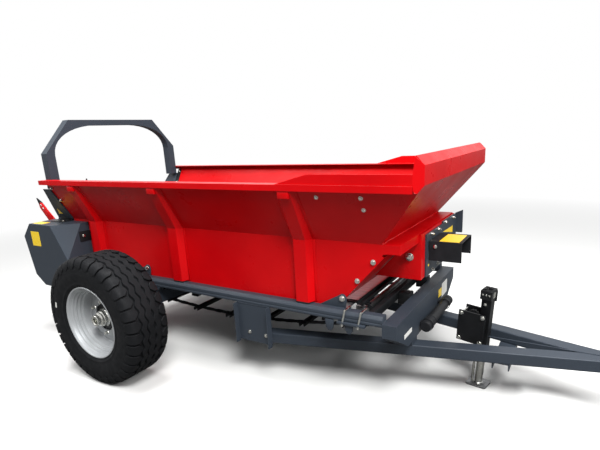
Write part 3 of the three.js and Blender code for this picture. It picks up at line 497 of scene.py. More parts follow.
def flare_point(x, z, out=0.0):
    """A place on the left flare's outside, or that many millimetres off it."""
    y = WALL_Y + (z - FOLD_Z) * (FLARE_TOP_Y - WALL_Y) / (LIP_Z - FOLD_Z)
    return at(x, y, z) + FLARE_OUT * out * MM


class SPREADER_OT_hopper(bpy.types.Operator):
    """Finishes the hopper's sheets, and adds the edges and tabs of its ribs and the black blocks under their feet
    """

    bl_idname = "spreader.hopper"
    bl_label = "Hopper"

    rib_base: FloatProperty(name="Rib base", description="Half the rib's width at the wall, in mm", default=56)
    flange: FloatProperty(name="Flange", description="Width of the rib's welded flange, in mm", default=11)

    def draw_flanges(self, bm):
        span = FLARE_SPAN - 3
        for x in RIB_X:
            for side in (-1, 1):
                x0, x1 = sorted((x + side * (self.rib_base - 2), x + side * (self.rib_base + self.flange)))
                add_box(bm, at(x0, WALL_Y - 0.5, 520), at(x1, WALL_Y + 2.6, FOLD_Z), 0.8 * MM)
                outline = [(x0, 0), (x1, 0), (x1, span), (x0, span)]
                add_sheet(bm, outline, -3.1, FORWARD, FLARE_UP, flare_point(0, FOLD_Z, -0.5), 0.8)

    def draw_tabs(self, bm):
        outline = [(604, LIP_Z - 1), (604, LIP_Z - 36), (590, LIP_Z - 36), (601, LIP_Z - 1)]
        for x in RIB_X:
            add_sheet(bm, outline, 62, LEFT, UP, at(x - 31, 0, 0), 1)

    def draw_rib_foot_blocks(self, bm):
        # Black blocks on the rail under the feet of the ribs.
        for x in RIB_X:
            add_box(bm, at(x - 33, WALL_Y + 3, 512.4), at(x + 33, WALL_Y + 42, RIB_FOOT_BLOCK_TOP), 1.2 * MM)

    def draw_seams(self, bm):
        edge = sizes().weld * 0.7
        add_bead(bm, at(1545, WALL_Y - 2, 792), at(1545, WALL_Y - 2, 838), edge)
        for x in RIB_X:
            for side in (-1, 1):
                place = x + side * (self.rib_base - 22)
                add_bead(bm, at(place, WALL_Y + 40, 838), at(place, WALL_Y + 40, 846), edge)

    def execute(self, context):
        for name in ("side_left", "side_right", "front", "upstand_left", "upstand_right", "front_wall"):
            dress_node(f"hopper_{name}", "red_paint", sizes().sheet_edge)
        dress_node("front_shelf", "red_paint", sizes().sheet_edge)
        dress_node("hopper_floor", "bare_steel")
        make_piece("rib_flanges", both_sides(self.draw_flanges), "red_paint")
        make_piece("rib_tabs", both_sides(self.draw_tabs), "red_paint")
        make_piece("rib_foot_blocks", both_sides(self.draw_rib_foot_blocks), "black_plastic")
        make_piece("hopper_welds", both_sides(self.draw_seams), "red_paint")
        return {"FINISHED"}


class SPREADER_OT_hopper_bolts(bpy.types.Operator):
    """Adds the bolts of the hopper's walls and of its lugs"""

    bl_idname = "spreader.hopper_bolts"
    bl_label = "Hopper bolts"

    def draw(self, bm):
        size = sizes().bolt
        for x, z in ((1288, 1066), (1504, 1068), (1503, 1013)):
            add_bolt(bm, flare_point(x, z), FLARE_OUT, size * 0.8)
        for x, z in ((1502, 755), (1420, 655)):
            add_bolt(bm, at(x, WALL_Y, z), (0, 1, 0), size)
        for x, z in ((1341, 558), (-55, 558)):
            add_bolt(bm, at(x, WALL_Y + 8.5, z), (0, 1, 0), size * 1.15)
        for z in (1072, 985):
            add_bolt(bm, flare_point(-752, z, 2.5), FLARE_OUT, size * 0.85, stud=5 * MM)

    def execute(self, context):
        make_piece("hopper_bolts", both_sides(self.draw), "zinc_steel")
        return {"FINISHED"}


class SPREADER_OT_chassis(bpy.types.Operator):
    """Finishes the rails, beam and drawbar, and adds their clamps, bolts and welds"""

    bl_idname = "spreader.chassis"
    bl_label = "Chassis and drawbar"

    def draw_clamps(self, bm):
        """Two round-bar clamps round each rail, with their nuts below."""
        low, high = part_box("chassis_rail_left")
        inner, outer = low.y / MM - 6, high.y / MM + 6
        lean, bar = 10, 5 * MM
        for x in (1368, 1452):
            for y in (outer, inner):
                add_rod(bm, at(x + lean, y, RAIL_TOP + 8), at(x - lean, y, RAIL_LOW - 26), bar, 12)
                add_bolt(bm, at(x - lean / 2, y, RAIL_LOW - 8), (0, 0, -1), 9 * MM, stud=8 * MM)
            add_rod(bm, at(x + lean, inner, RAIL_TOP + 7), at(x + lean, outer, RAIL_TOP + 7), bar, 12)

    def draw_clamp_plates(self, bm):
        """The clamps' bottom plate, and the two lugs that hang from the rail beside it."""
        low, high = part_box("chassis_rail_left")
        inner, outer = low.y / MM, high.y / MM
        add_box(bm, at(1335, inner - 14, RAIL_LOW - 14), at(1480, outer + 14, RAIL_LOW - 0.4), 2 * MM)
        outline = [(-24, 0), (24, 0), (20, -40), (9, -58), (-9, -58), (-20, -40)]
        for x in (1395, 1290):
            add_sheet(bm, outline, 8, FORWARD, UP, at(x, outer + 4, RAIL_LOW - 2), 1.5)

    def draw_bolts(self, bm):
        for x, z in ((782, 296), (892, 292)):
            add_bolt(bm, at(x, 499.5, z), LEFT, sizes().bolt * 0.8)

    def draw_welds(self, bm):
        """The beads round the rail at the beam, and under it at the drawbar's hanger."""
        radius = sizes().weld
        low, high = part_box("front_beam")
        rail_low, rail_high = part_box("chassis_rail_left")
        x, y = low.x - radius * 0.3, rail_high.y
        for z in (RAIL_LOW * MM, min(RAIL_TOP * MM, high.z)):
            add_bead(bm, (x, rail_low.y + 2 * MM, z), (x, y - 2 * MM, z), radius)
        add_bead(bm, (x, y, (RAIL_LOW + 2) * MM), (x, y, (RAIL_LOW + 22) * MM), radius)
        add_bead(bm, at(705, y / MM, RAIL_LOW - 0.5), at(927, y / MM, RAIL_LOW - 0.5), radius)

    def draw_rail(self, bm):
        """A roll-formed rail with a chamfered outer corner and two pressed lines, and its hopper lugs."""
        low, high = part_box("chassis_rail_left")
        inner, outer, foot = low.y / MM, high.y / MM, low.z / MM
        top = foot + RAIL_TOP - RAIL_LOW
        outline = [(inner, foot + 3), (inner + 3, foot), (outer - 4, foot), (outer, foot + 4), (outer, foot + 14),
                   (outer - 1.6, foot + 16), (outer - 1.6, foot + 20), (outer, foot + 22), (outer, foot + 36),
                   (outer - 13, top), (inner + 3, top), (inner, top - 3)]
        add_sheet(bm, outline, (high.x - low.x) / MM, LEFT, UP, (low.x, 0, 0), 0.6)
        lug = [(-66, -1), (76, -1), (82, 34), (81, 52), (74, 63), (64, 68), (52, 66), (40, 58)]
        for x in (-116, 1280):
            add_sheet(bm, lug, -8, FORWARD, UP, at(x, inner, top), 1.2)

    def draw_rib_foot_blocks(self, bm):
        """Black blocks on the rail under the feet of the hopper's ribs."""
        for x in RIB_X:
            add_box(bm, at(x - 40, WALL_Y + 1, 512.2), at(x + 40, WALL_Y + 40, RIB_FOOT_BLOCK_TOP), 1.5 * MM)

    def draw_front_members(self, bm):
        """The bar before the conveyor's front shaft, and the two bars from it to the beam."""
        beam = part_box("front_beam")[0].x
        add_box(bm, at(1472, -444, 462), at(1500, 444, 506), 2 * MM)
        for y in (-90, 210):
            low, high = at(1500.3, y - 34, 440), at(1520, y + 34, 500)
            add_box(bm, low, (beam - 0.3 * MM, high.y, high.z), 3 * MM)

    def draw_nose(self, bm):
        """The bead along the seam between the drawbar's tubes."""
        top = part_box("drawbar_left")[1].z
        add_bead(bm, (AXLE.x + 1.9, 0, top), (AXLE.x + 2.569, 0, top), sizes().weld)

    def execute(self, context):
        edge = sizes().tube_edge
        for side, sign in SIDES.items():
            rail = drawn(self.draw_rail)
            bmesh.ops.scale(rail, vec=(1, sign, 1), verts=rail.verts)
            make_piece(f"chassis_rail_{side}_rolled", rail, "grey_paint", replaces=[f"chassis_rail_{side}"])
            dress_node(f"drawbar_{side}", "grey_paint", edge, 3)
            dress_node(f"drawbar_hanger_{side}", "grey_paint", 0.0015)
        dress_node("front_beam", "grey_paint", edge, 3)
        dress_node("drawbar_cross_plate", "grey_paint", 0.0015)
        dress_node("floor_frame", "black_paint", 0.003)
        dress_node("tow_eye", "bare_steel", 0.002)
        make_piece("front_members", drawn(self.draw_front_members), "black_paint")
        for name, draw, slot in (
                ("rib_foot_blocks", self.draw_rib_foot_blocks, "black_paint"),
                ("rail_clamps", self.draw_clamps, "zinc_steel"),
                ("rail_clamp_plates", self.draw_clamp_plates, "grey_paint"),
                ("hanger_bolts", self.draw_bolts, "zinc_steel"),
                ("chassis_welds", self.draw_welds, "grey_paint")):
            make_piece(name, both_sides(draw), slot)
        make_piece("drawbar_weld", drawn(self.draw_nose), "grey_paint")
        return {"FINISHED"}


class SPREADER_OT_document_tube(bpy.types.Operator):
    """Adds the moulded document tube with its ribbed screw caps"""

    bl_idname = "spreader.document_tube"
    bl_label = "Document tube"

    ribs: IntProperty(name="Ribs", description="Grip ribs round each cap", default=18, min=8)

    def execute(self, context):
        low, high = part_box("document_tube")
        centre = Vector((high.x - 30 * MM, 0, (low.z + high.z) / 2))
        bm = bmesh.new()
        near, far = low.y / MM, high.y / MM
        profile = [(0, near + 1), (24, near + 1), (28, near + 4), (28, near + 92), (30, near + 93), (30, near + 99),
                   (27, near + 101), (26, near + 104), (26, far - 40), (27.5, far - 38), (27.5, far - 33),
                   (29, far - 31), (29, far - 6), (24, far - 1), (0, far - 1)]
        revolve(bm, scaled(profile), 40, centre)
        for i in range(self.ribs):
            angle = tau * i / self.ribs
            spot = centre + mm(28 * cos(angle), 0, 28 * sin(angle))
            for y0, y1 in ((near + 5, near + 90), (far - 29, far - 8)):
                add_rod(bm, spot + mm(0, y0, 0), spot + mm(0, y1, 0), 1.5 * MM, 6)
        make_piece("document_tube_moulded", bm, "black_plastic", replaces=["document_tube"])
        straps = bmesh.new()
        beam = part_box("front_beam")[1].x
        for y in (-150, 170):
            revolve(straps, scaled([(29.8, y - 9), (32, y - 9), (32, y + 9), (29.8, y + 9)]), 32, centre)
            add_box(straps, (beam, (y - 12) * MM, centre.z - 12 * MM),
                    (centre.x - 24 * MM, (y + 12) * MM, centre.z + 12 * MM), 1.5 * MM)
        make_piece("document_tube_brackets", straps, "black_plastic")
        return {"FINISHED"}


class SPREADER_OT_jack(bpy.types.Operator):
    """Finishes the parking jack, with its clamp bolts, crank box and round leg"""

    bl_idname = "spreader.jack"
    bl_label = "Parking jack"

    lean: angle_value("Lean", "Tilt of the jack's top forwards", 3.6)
    yaw: angle_value("Yaw", "Turn of the jack to the right", -10.4)

    axis_place = (1904, 10, 0)
    clamp_heights = (254, 395)
    clamp_back = -114

    def standing(self):
        """The jack's turned place on the ground, before it leans."""
        return Matrix.Translation(at(*self.axis_place)) @ Matrix.Rotation(self.yaw, 4, "Z")

    def on_jack(self, bm):
        """Moves what was drawn along the jack's own directions to its place on the drawbar."""
        bmesh.ops.transform(bm, matrix=self.standing() @ Matrix.Rotation(self.lean, 4, "Y"), verts=bm.verts)

    def draw_leg(self, bm):
        add_rod(bm, mm(0, 0, 6), mm(0, 0, 299), 19.6 * MM, 40)
        add_rod(bm, mm(0, 0, 8), mm(0, 0, 15), 26 * MM, 40, 20 * MM)
        add_rod(bm, mm(-32, -6, 8), mm(-32, -6, 186), 6.4 * MM, 16)
        self.on_jack(bm)

    def draw_foot(self, bm):
        """The sole plate flat on the ground, with the pad that the leg stands on."""
        matrix = self.standing()
        add_plate(bm, rounded(0.108, 0.094, 0.012), 8 * MM, matrix, 1.2 * MM)
        low, high = matrix @ Vector((-0.03, -0.03, 0.0078)), matrix @ Vector((0.03, 0.03, 0.0078))
        add_box(bm, low, high + mm(0, 0, 3), 1 * MM)

    def draw_bolts(self, bm):
        right = (0, -1, 0)
        for s in (self.clamp_back, -3):
            for h in self.clamp_heights:
                add_bolt(bm, mm(s, -46, h), right, 11 * MM)
                add_bolt(bm, mm(s, 56, h), LEFT, 11 * MM, stud=4 * MM)
        for s in (-17, 0, 16):
            add_bolt(bm, mm(s, -39, 518), right, 4.5 * MM)
        add_bolt(bm, mm(-4, -25, 462), right, 7 * MM)
        add_box(bm, mm(27, -16, 500), mm(28.5, 14, 530), 0.5 * MM)
        for h in self.clamp_heights:
            add_rod(bm, mm(self.clamp_back, -38, h), mm(self.clamp_back, 48, h), 5 * MM, 14)
        self.on_jack(bm)

    def draw_ratchet(self, bm):
        """The folded cover, the crank's boss on it, and the ratchet wheel between the clamp plates."""
        add_box(bm, mm(-30.6, -39.6, 533), mm(27.6, 39.6, 540), 2 * MM)
        add_rod(bm, mm(4, 8, 539), mm(4, 8, 549), 11 * MM, 24, 9 * MM, 1 * MM)
        add_rod(bm, mm(-16, -14, 539), mm(-16, -14, 545), 7 * MM, 20, edge=1 * MM)
        add_box(bm, mm(-40, 34, 470), mm(30, 38.8, 531), 1.5 * MM)
        centre, teeth = mm(-66, 5, 375), 14
        for i in range(teeth):
            angle = tau * i / teeth
            spot = centre + mm(27 * cos(angle), 0, 27 * sin(angle))
            add_box(bm, spot - mm(5, 9, 5), spot + mm(5, 9, 5), 1 * MM, Matrix.Rotation(-angle, 4, "Y"))
        add_rod(bm, centre - mm(0, 9, 0), centre + mm(0, 9, 0), 26 * MM, 28, edge=1.5 * MM)
        add_rod(bm, centre - mm(0, 42, 0), centre + mm(0, 42, 0), 9 * MM, 16)
        self.on_jack(bm)

    def execute(self, context):
        dress_node("jack_mount", "black_paint", 0.002)
        dress_node("jack_tube", "black_paint", 0.002)
        make_piece("jack_leg_round", drawn(self.draw_leg), "zinc_steel", "jack_leg", ["jack_leg"])
        make_piece("jack_foot_plate", drawn(self.draw_foot), "bare_steel", "jack_leg")
        make_piece("jack_bolts", drawn(self.draw_bolts), "zinc_steel")
        make_piece("jack_ratchet", drawn(self.draw_ratchet), "black_paint")
        return {"FINISHED"}


# ------------------------------------------------------------------ wheels
def wheel_centre(side):
    return Vector((AXLE.x, middle(f"tyre_{side}").y, WHEEL_Z))


def put_on_wheel(bm, side):
    """Moves what was drawn about a left wheel's middle to a wheel, mirrored for the right one."""
    bmesh.ops.scale(bm, vec=(1, SIDES[side], 1), verts=bm.verts)
    bmesh.ops.translate(bm, vec=wheel_centre(side), verts=bm.verts)


class SPREADER_OT_tyres(bpy.types.Operator):
    """Adds the implement tyres: zigzag ribs in the middle and lugs over the shoulders"""

    bl_idname = "spreader.tyres"
    bl_label = "Tyres"

    radius: FloatProperty(name="Radius", description="Outer radius of the tread, in mm", default=376)
    swing: FloatProperty(name="Swing", description="How far the ribs swing to each side, in mm", default=6)

    def draw_carcass(self, bm):
        base = self.radius - sizes().tread_depth / MM
        half = [(199, 104), (209, 110), (214, 113.5), (220, 120), (226, 122.5), (229, 125.2), (233, 125.6),
                (236, 124.6), (248, 127.2), (262, 129.4), (280, 130.6), (296, 130.6), (300, 129.8), (304, 130.2),
                (318, 128.6), (336, 122), (350, 110), (358, 96), (base - 1, 74), (base, 40), (base, 14)]
        profile = half + [(r, -y) for r, y in reversed(half)]
        revolve(bm, scaled(profile), 136)

    def draw_rib(self, bm, middle_y, width, phase):
        """A zigzag rib all the way round."""
        pitches = sizes().tread_pitches
        base = self.radius - sizes().tread_depth / MM - 2
        crown = self.radius - 0.3 - (middle_y / 66) ** 2 * 0.8
        section = [(base, -width / 2 - 1.5), (crown - 1.5, -width / 2), (crown, -width / 2 + 1.5),
                   (crown, width / 2 - 1.5), (crown - 1.5, width / 2), (base, width / 2 + 1.5)]
        start = len(bm.verts)
        revolve(bm, scaled(section), pitches * 6)
        bm.verts.ensure_lookup_table()
        for vert in bm.verts[start:]:
            turn = (atan2(vert.co.z, vert.co.x) / tau * pitches + phase) % 1
            wave = max(-1, min(1, 3 * (2 * abs(2 * turn - 1) - 1) / 2))
            vert.co.y += (middle_y + self.swing * wave) * MM

    def draw_lug(self, bm):
        """One shoulder lug, whose inner end is cut to a blunt point, at the top of the tyre."""
        pitch = tau * self.radius / sizes().tread_pitches
        base = self.radius - sizes().tread_depth / MM
        crown = self.radius - 0.6
        section = [(66, base - 3), (67.5, crown - 1.2), (70, crown), (100, crown - 3.2), (114, crown - 9),
                   (123, crown - 21), (129, crown - 44), (130.5, crown - 58), (127, crown - 60),
                   (118, crown - 40), (96, base - 8)]
        face = bm.faces.new([bm.verts.new((-pitch * 0.42 * MM, y * MM, z * MM)) for y, z in section])
        stations = [list(face.verts)]
        for step in (0.27, 0.30, 0.27):
            top = bmesh.ops.extrude_face_region(bm, geom=[face])
            verts = moved_verts(top)
            face = next(item for item in top["geom"] if isinstance(item, bmesh.types.BMFace))
            bmesh.ops.translate(bm, verts=verts, vec=(pitch * step * MM, 0, 0))
            stations.append(verts)
        for verts in (stations[0], stations[3]):
            for vert in verts:
                if vert.co.y < 72 * MM:
                    vert.co.y += 19 * MM
                if vert.co.z < (crown - 30) * MM and vert.co.y > 110 * MM:
                    vert.co.z += 12 * MM
        lug = [vert for verts in stations for vert in verts]
        for vert in lug:
            angle = vert.co.x / (self.radius * MM)
            reach = vert.co.z
            vert.co.x, vert.co.z = reach * sin(angle), reach * cos(angle)
        return lug

    def draw_lugs(self, bm):
        pitches = sizes().tread_pitches
        for mirror in (1, -1):
            one = bmesh.new()
            lug = self.draw_lug(one)
            soften(one, lug, 1.3 * MM, 1, 40)
            bmesh.ops.scale(one, vec=(1, mirror, 1), verts=one.verts)
            if mirror < 0:
                bmesh.ops.rotate(one, matrix=Matrix.Rotation(pi / pitches, 3, "Y"), verts=one.verts)
            bmesh.ops.spin(one, geom=one.verts[:] + one.edges[:] + one.faces[:], axis=(0, 1, 0), angle=tau,
                           steps=pitches, use_duplicate=True)
            bmesh.ops.remove_doubles(one, verts=one.verts, dist=1e-5)
            move_into(bm, one)

    def execute(self, context):
        for side in SIDES:
            bm = drawn(self.draw_carcass)
            for middle_y, width, phase in ((-42, 30, 0.5), (0, 34, 0.0), (42, 30, 0.0)):
                self.draw_rib(bm, middle_y, width, phase)
            self.draw_lugs(bm)
            put_on_wheel(bm, side)
            make_piece(f"tyre_{side}_treaded", bm, "tyre_rubber", f"wheel_{side}", [f"tyre_{side}"], 36)
        return {"FINISHED"}


class SPREADER_OT_wheels(bpy.types.Operator):
    """Adds the pressed rims, the hubs with their nuts, and finishes the axle"""

    bl_idname = "spreader.wheels"
    bl_label = "Wheels and axle"

    bolt_circle: FloatProperty(
        name="Bolt circle", description="Radius of the wheel nuts' circle, in mm", default=96)

    def draw_rim(self, bm):
        outer = [(80, 20), (96, 20), (112, 19), (124, 15), (136, 8), (148, 1), (158, -1), (163, 4), (165, 12),
                 (165, 38), (167, 43), (173, 46), (174.5, 49), (174.5, 58), (177, 61), (182, 62), (184, 65),
                 (184, 75), (186, 78), (190, 79), (192, 82), (192.5, 92), (195, 95), (196.5, 98), (197, 106),
                 (199.5, 110), (206, 111), (210.5, 114.5), (210.8, 117), (209, 118.7), (204, 118)]
        inner = [(r, -y) for r, y in ((210.5, 116), (209, 118), (203, 118), (197, 112), (194, 100), (190, 88),
                                      (184, 80), (172, 72), (168, 60), (168, 30))]
        back = [(161, 8), (156, -6), (146, -5), (134, 3), (122, 10), (110, 13.5), (96, 14.5), (80, 14.5)]
        seat = [(201, 114.5), (198.8, 111.5), (198.6, 72), (188, 58), (178, 44), (171, 36)]
        profile = outer + seat + [(171, -64), (186, -76), (192, -86), (197, -98), (199, -108)] + inner + back
        revolve(bm, scaled(profile), 96)

    def draw_hub(self, bm):
        flange = [(33, -66), (58, -66), (60, -60), (60, -2), (95, 0), (104, 2), (104, 12), (100, 13.6), (64, 13.6),
                  (60, 16), (33, 16)]
        revolve(bm, scaled(flange), 48)

    def draw_barrel(self, bm):
        barrel = [(33, 15), (52, 15), (52, 24), (47, 30), (45, 34), (45, 46), (40, 50), (40, 58), (33, 61),
                  (29, 64), (29, 70), (32, 72), (32, 83), (30, 85), (21, 85), (19.5, 83), (19.5, 56), (0, 56),
                  (0, 30), (33, 30)]
        revolve(bm, scaled(barrel), 48)
        for i in range(sizes().wheel_nuts):
            angle = tau * (i + 0.5) / sizes().wheel_nuts
            foot = mm(self.bolt_circle * cos(angle), 20, self.bolt_circle * sin(angle))
            add_rod(bm, foot, foot + mm(0, 4, 0), 13 * MM, 24, 10.5 * MM)
            add_rod(bm, foot + mm(0, 3, 0), foot + mm(0, 16, 0), 10.5 * MM, 6, edge=1.2 * MM)
            add_rod(bm, foot + mm(0, 14, 0), foot + mm(0, 21, 0), 6.5 * MM, 16, edge=1 * MM)

    def draw_valve(self, bm):
        add_rod(bm, mm(178, 58, 0), mm(164, 98, 0), 4 * MM, 12)
        add_rod(bm, mm(164, 98, 0), mm(162, 105, 0), 5 * MM, 12, edge=0.8 * MM)

    def execute(self, context):
        for side in SIDES:
            for name, draw, slot, replaced in (
                    (f"rim_{side}_pressed", self.draw_rim, "silver_paint", [f"rim_{side}"]),
                    (f"hub_{side}_flange", self.draw_hub, "black_paint", [f"hub_{side}"]),
                    (f"hub_{side}_barrel", self.draw_barrel, "zinc_steel", []),
                    (f"valve_{side}", self.draw_valve, "black_plastic", [])):
                bm = drawn(draw)
                put_on_wheel(bm, side)
                make_piece(name, bm, slot, f"wheel_{side}", replaced)
        dress_node("axle", "grey_paint", 0.003, 3)
        return {"FINISHED"}


# ------------------------------------------------------------------ rear frame and beater
class SPREADER_OT_rear_frame(bpy.types.Operator):
    """Finishes the arch, side plates and guards, and adds their bolted flanges"""

    bl_idname = "spreader.rear_frame"
    bl_label = "Rear frame and guards"

    bolt_heights = (985, 1072)

    def draw_flange(self, bm):
        """The strip inside the flare that ties the hopper to the rear frame."""
        span = FLARE_SPAN - 6
        outline = [(-775, 0), (-738, 0), (-738, span), (-775, span)]
        add_sheet(bm, outline, 3, FORWARD, FLARE_UP, flare_point(0, FOLD_Z, -3.2), 0.8)

    def draw_guard_bracket(self, bm):
        """The angle that holds the guard's top to the side plate."""
        low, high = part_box("side_guard_left")
        top, inner, edge = high.z, 0.4475, 1.2 * MM
        add_box(bm, (low.x + 0.175, inner, top - 0.0005), (high.x - 0.17, 0.53, top + 0.0045), edge)
        add_box(bm, (low.x + 0.175, inner, top), (high.x - 0.17, 0.4525, top + 0.045), edge)
        add_box(bm, (high.x + 0.0003, inner, top - 0.125), (high.x + 0.0053, 0.53, top - 0.055), edge)

    def draw_bolts(self, bm):
        low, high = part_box("side_guard_left")
        add_bolt(bm, (high.x + 0.0053, 0.5, high.z - 0.087), FORWARD, 10 * MM)
        for x in (low.x + 0.21, high.x - 0.2):
            add_bolt(bm, (x, 0.505, high.z + 0.0045), UP, 7 * MM)
        for z in self.bolt_heights:
            add_bolt(bm, flare_point(-756, z, -6.2), -FLARE_OUT, 9 * MM)

    def execute(self, context):
        dress_node("rear_arch", "grey_paint", 0.004, 3)
        for side in SIDES:
            dress_node(f"rear_side_plate_{side}", "grey_paint", 0.002)
            dress_node(f"side_guard_{side}", "grey_paint", 0.002, 3)
        make_piece("rear_flanges", both_sides(self.draw_flange), "black_paint")
        make_piece("guard_brackets", both_sides(self.draw_guard_bracket), "black_paint")
        make_piece("rear_bolts", both_sides(self.draw_bolts), "zinc_steel")
        return {"FINISHED"}


class SPREADER_OT_beater(bpy.types.Operator):
    """Adds the beater: a tube with paired blades in a spiral, each with its bolted-on knife"""

    bl_idname = "spreader.beater"
    bl_label = "Beater"

    stations: IntProperty(name="Stations", description="Pairs of blades along the tube", default=8, min=4)
    first_angle: FloatProperty(name="First angle", description="Where the first blade points", default=137)
    step: FloatProperty(name="Step", description="Turn from one station to the next, in degrees", default=-24)

    end_y = 0.424    # the outermost blades' distance from the middle

    def each(self):
        """The angle of every blade, and its place along the tube."""
        for i in range(self.stations):
            y = -self.end_y + i * 2 * self.end_y / (self.stations - 1)
            for half_turn in (0, pi):
                yield radians(self.first_angle + i * self.step) + half_turn, y

    def spiral(self, draw):
        """Draws each blade pointing along +X at its place along the tube, and turns it to its angle."""
        bm = bmesh.new()
        centre = middle("beater")
        for angle, y in self.each():
            one = bmesh.new()
            draw(one, y)
            turn = Matrix.Rotation(-angle, 4, "Y")
            bmesh.ops.transform(one, matrix=Matrix.Translation((centre.x, 0, centre.z)) @ turn, verts=one.verts)
            move_into(bm, one)
        return bm

    def draw_arm(self, bm, y):
        outline = [(80, -36), (200, -30), (312, -24), (330, -16), (330, 16), (312, 26), (200, 32), (80, 36)]
        add_sheet(bm, outline, 8, FORWARD, UP, (0, y + 4 * MM, 0), 1)
        for side in (-1, 1):
            add_bead(bm, (83 * MM, y + side * 4 * MM, -32 * MM), (83 * MM, y + side * 4 * MM, 32 * MM), 3 * MM)

    def draw_knife(self, bm, y):
        outline = [(262, -20), (330, -20), (391, -3), (391, 4), (345, 22), (262, 20)]
        face = y + (10.2 if y < 0 else -4.2) * MM
        add_sheet(bm, outline, 6, FORWARD, UP, (0, face, 0), 1.2)

    def draw_bolt(self, bm, y):
        """Nuts on the knife, towards the machine's middle, and round heads behind."""
        inward = 1 if y < 0 else -1
        for x in (280, 312):
            add_bolt(bm, (x * MM, y + inward * 10.2 * MM, 0), (0, inward, 0), 10 * MM, stud=4 * MM)
            add_rod(bm, (x * MM, y - inward * 4 * MM, 0), (x * MM, y - inward * 7 * MM, 0), 9 * MM, 16, 6 * MM)

    def execute(self, context):
        bm = self.spiral(self.draw_arm)
        centre, end = middle("beater"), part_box("beater")[1].y / MM - 0.2
        ends = [(0, end), (30, end), (30, 430), (79, 430), (82, 427)]
        profile = ends + [(r, -y) for r, y in reversed(ends)]
        revolve(bm, scaled(profile), 64, (centre.x, 0, centre.z))
        make_piece("beater_rotor", bm, "red_paint", "beater", ["beater"])
        make_piece("beater_knives", self.spiral(self.draw_knife), "black_paint", "beater")
        make_piece("beater_bolts", self.spiral(self.draw_bolt), "zinc_steel", "beater")
        return {"FINISHED"}


